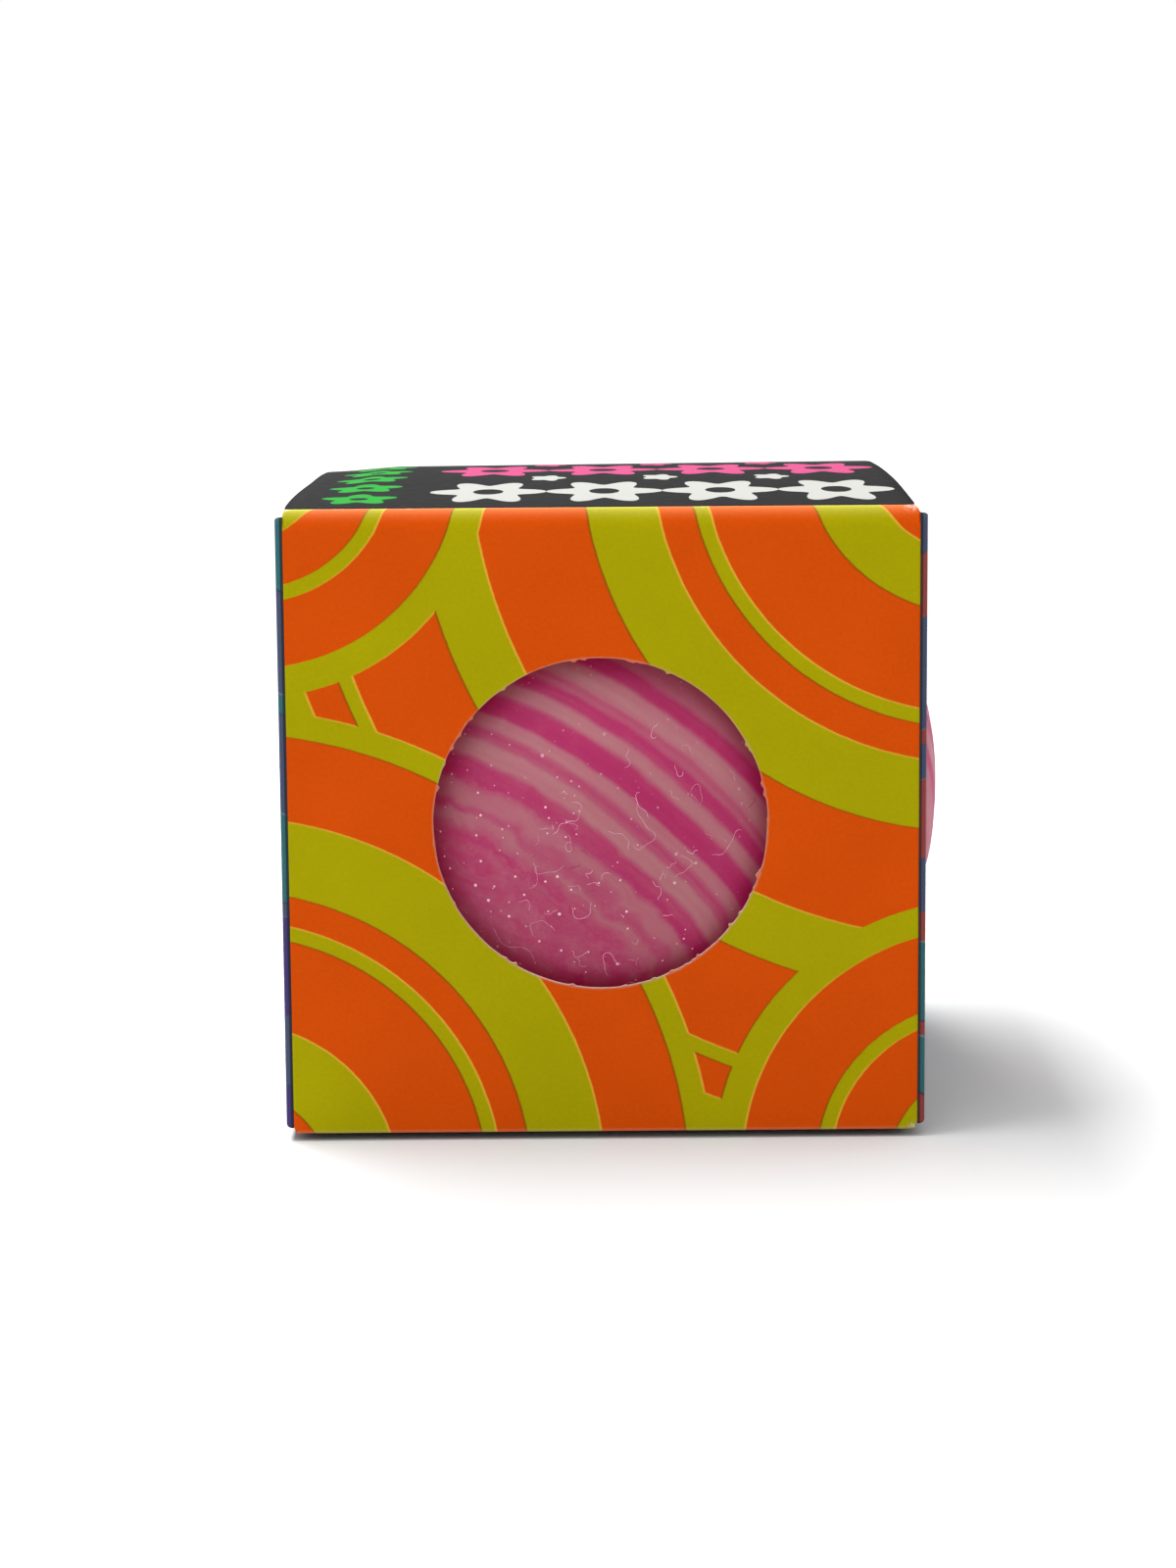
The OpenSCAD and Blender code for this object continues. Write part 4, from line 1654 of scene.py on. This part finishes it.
    def lint(self, count: int = 150, steps: int = 26) -> None:
        """Build and dress the lint: thin curled fibres that lie on the skin, and a few dark hairs.

        Each fibre starts at a random place and walks over the ball in a heading that turns steadily, with
        two slow wobbles. Its points are moved onto the ball's outline along their own direction.

        Args:
            count: number of fibres.
            steps: points of each.
        """
        rng = np.random.default_rng(SEED + 200)
        front = rng.random(count) < 0.6
        near = np.array([-0.13, -1.0, -0.13]) + rng.normal(0, 1, (count, 3)) * np.array([0.27, 0.1, 0.2])
        start = unit(np.where(front[:, None], near, rng.normal(0, 1, (count, 3))))
        aside = unit(np.cross(start, rng.normal(0, 1, (count, 3))))
        other = np.cross(start, aside)
        dark = rng.random(count) < 0.07
        length = np.where(dark, rng.uniform(0.8, 2.2, count), rng.gamma(2.2, 0.9, count) + 0.6)[:, None]
        bend = np.where(dark, 0.5, rng.normal(0, 1.0, count) * 2.6)[:, None]
        share = np.linspace(0, 1, steps)[None, :]
        heading = bend * share ** rng.uniform(0.6, 1.6, count)[:, None]
        for size, low, high in ((0.7, 0.5, 1.4), (0.35, 1.6, 3.4)):
            wave, phase = rng.uniform((low, 0), (high, 2 * np.pi), (count, 2)).T[..., None]
            heading = heading + size * np.sin(2 * np.pi * share * wave + phase)
        step = length / (steps - 1)
        u, v = (np.cumsum(f(heading) * step, axis=1)[..., None] for f in (np.cos, np.sin))
        way = unit(start[:, None] * self.radius + u * aside[:, None] + v * other[:, None])
        reach, tall = self.outline(np.arcsin(np.clip(way[..., 2], -1, 1)), -0.03)
        turn = np.arctan2(way[..., 1], way[..., 0])
        path = self.pressed(stacked(reach * np.cos(turn), reach * np.sin(turn), tall) + np.array(self.middle), 0.0)
        taper = np.minimum(1, 0.3 + 3 * np.sin(np.pi * np.clip(share, 0.02, 0.98)))
        skin = tube(path, rng.uniform(0.009, 0.022, count)[:, None] * taper)
        each = np.array([len(skin.quads), len(skin.tris)]) // count
        skin.finish[:] = np.repeat(np.tile(dark, 2), np.repeat(each, count))
        Piece("ball_lint", "ball", None, "soft_skin").settle(skin, (self.finishes.lint, self.finishes.hair))

    def build(self) -> None:
        """Build and dress the ball."""
        for piece in (self.shell, self.filling, self.stopper, self.lint):
            piece()


@dataclass
class Studio:
    """The pale floor, the soft light and the camera of the photograph.

    Attributes:
        camera_at: place of the camera, mm.
        pitch: degrees that it looks down.
        roll: degrees that it is turned about its view.
        lens: focal length for a 36 mm long side, mm.
        level: height of the floor, just under the sagging base, mm.
    """

    camera_at: Point = (-1.52, -400.0, 92.4)
    pitch: float = 8.74
    roll: float = -0.45
    lens: float = 85.1
    level: float = -0.67

    def floor(self) -> None:
        """Lay the floor: a wide flat disc, as rings round the origin, that turns evenly white far off."""
        turn = np.linspace(0, 2 * np.pi, 96, endpoint=False)[:, None]
        ring = np.array([0.001, 60, 140, 300, 700, 1600, 6000, 40000.0])[None, :]
        points = stacked(ring * np.cos(turn), ring * np.sin(turn), np.full((1, 1), self.level)).reshape(-1, 3)
        skin = Surface.plain(points, lattice(96, 8, wrap=True)[:, ::-1])
        g = NodeGraph("pale_floor")
        place = g.place()
        far = g.band(g.vector("LENGTH", place, out="Value"), 130.0, 480.0)
        colour = g.mix(g.noise(place, 0.02, 3.0), (0.487, 0.49, 0.492), (0.507, 0.51, 0.512))
        colour = g.mix(far, colour, (0.0, 0.0, 0.0))
        shade = g.finish(Base_Color=colour, Roughness=0.9, Specular_IOR_Level=0.0,
                         Emission_Color=(1.25, 1.25, 1.25, 1.0), Emission_Strength=far)
        made = skin.to_object("floor", (shade,))

    def lights(self) -> None:
        """Hang a long strip lamp high on the left behind and a soft panel high in front, in a white room."""
        world = bpy.data.worlds.new("white_room")
        world.use_nodes = True
        white = world.node_tree.nodes["Background"]
        white.inputs[0].default_value = (1.0, 1.0, 1.0, 1.0)
        white.inputs[1].default_value = 1.0
        bpy.context.scene.world = world
        self.lamp("soft_lamp", (-0.18, 0.35, 0.58), (0.02, 0.35, 0.02), (1.1, 0.16), 12.0)
        self.lamp("soft_fill", (-0.12, -0.55, 0.72), (0.01, 0.0, 0.02), (0.5, 0.5), 1.9)

    def lamp(self, name: str, at: Point, aim: Point, size: tuple[float, float], energy: float) -> None:
        """Hang an evenly lit panel.

        Args:
            name: the lamp's name.
            at: its place, m.
            aim: the point that it faces, m.
            size: its level width and its other width, m.
            energy: its power, W.
        """
        data = bpy.data.lights.new(name, "AREA")
        data.shape = "RECTANGLE"
        data.size, data.size_y = size
        data.energy = energy
        lamp = bpy.data.objects.new(name, data)
        lamp.location = at
        lamp.rotation_euler = self.facing(np.array(aim) - np.array(at))
        bpy.context.scene.collection.objects.link(lamp)

    @staticmethod
    def facing(aim: Array) -> Euler:
        """Turn that points an object's -Z along a direction."""
        flat = math.hypot(aim[0], aim[1])
        return Euler((math.atan2(flat, -aim[2]), 0.0, math.atan2(-aim[0], aim[1])), "XYZ")

    def camera(self) -> None:
        """Stand the camera where the photograph was taken from."""
        data = bpy.data.cameras.new("photo_camera")
        data.sensor_width = 36.0
        data.lens = self.lens
        data.clip_start = 0.01
        camera = bpy.data.objects.new("photo_camera", data)
        tilt = Euler((math.radians(90 - self.pitch), 0, 0)).to_matrix()
        turn = tilt @ Matrix.Rotation(math.radians(self.roll), 3, "Z")
        camera.matrix_world = Matrix.LocRotScale(np.array(self.camera_at) * MM, turn, None)
        bpy.context.scene.collection.objects.link(camera)
        bpy.context.scene.camera = camera

    def build(self) -> None:
        """Set the stage."""
        self.camera()
        self.floor()
        self.lights()
        bpy.context.scene.view_settings.view_transform = "Standard"


def main() -> None:
    """Build the part piece by piece."""
    logging.basicConfig(level=logging.INFO, format="%(name)s %(message)s")
    Studio().build()
    finishes = Finishes()
    CartonSleeve(finishes).build()
    for end in End:
        CartonClosure(finishes, end).build()
    SqueezeBall(finishes).build()


if __name__ == "__main__":
    main()
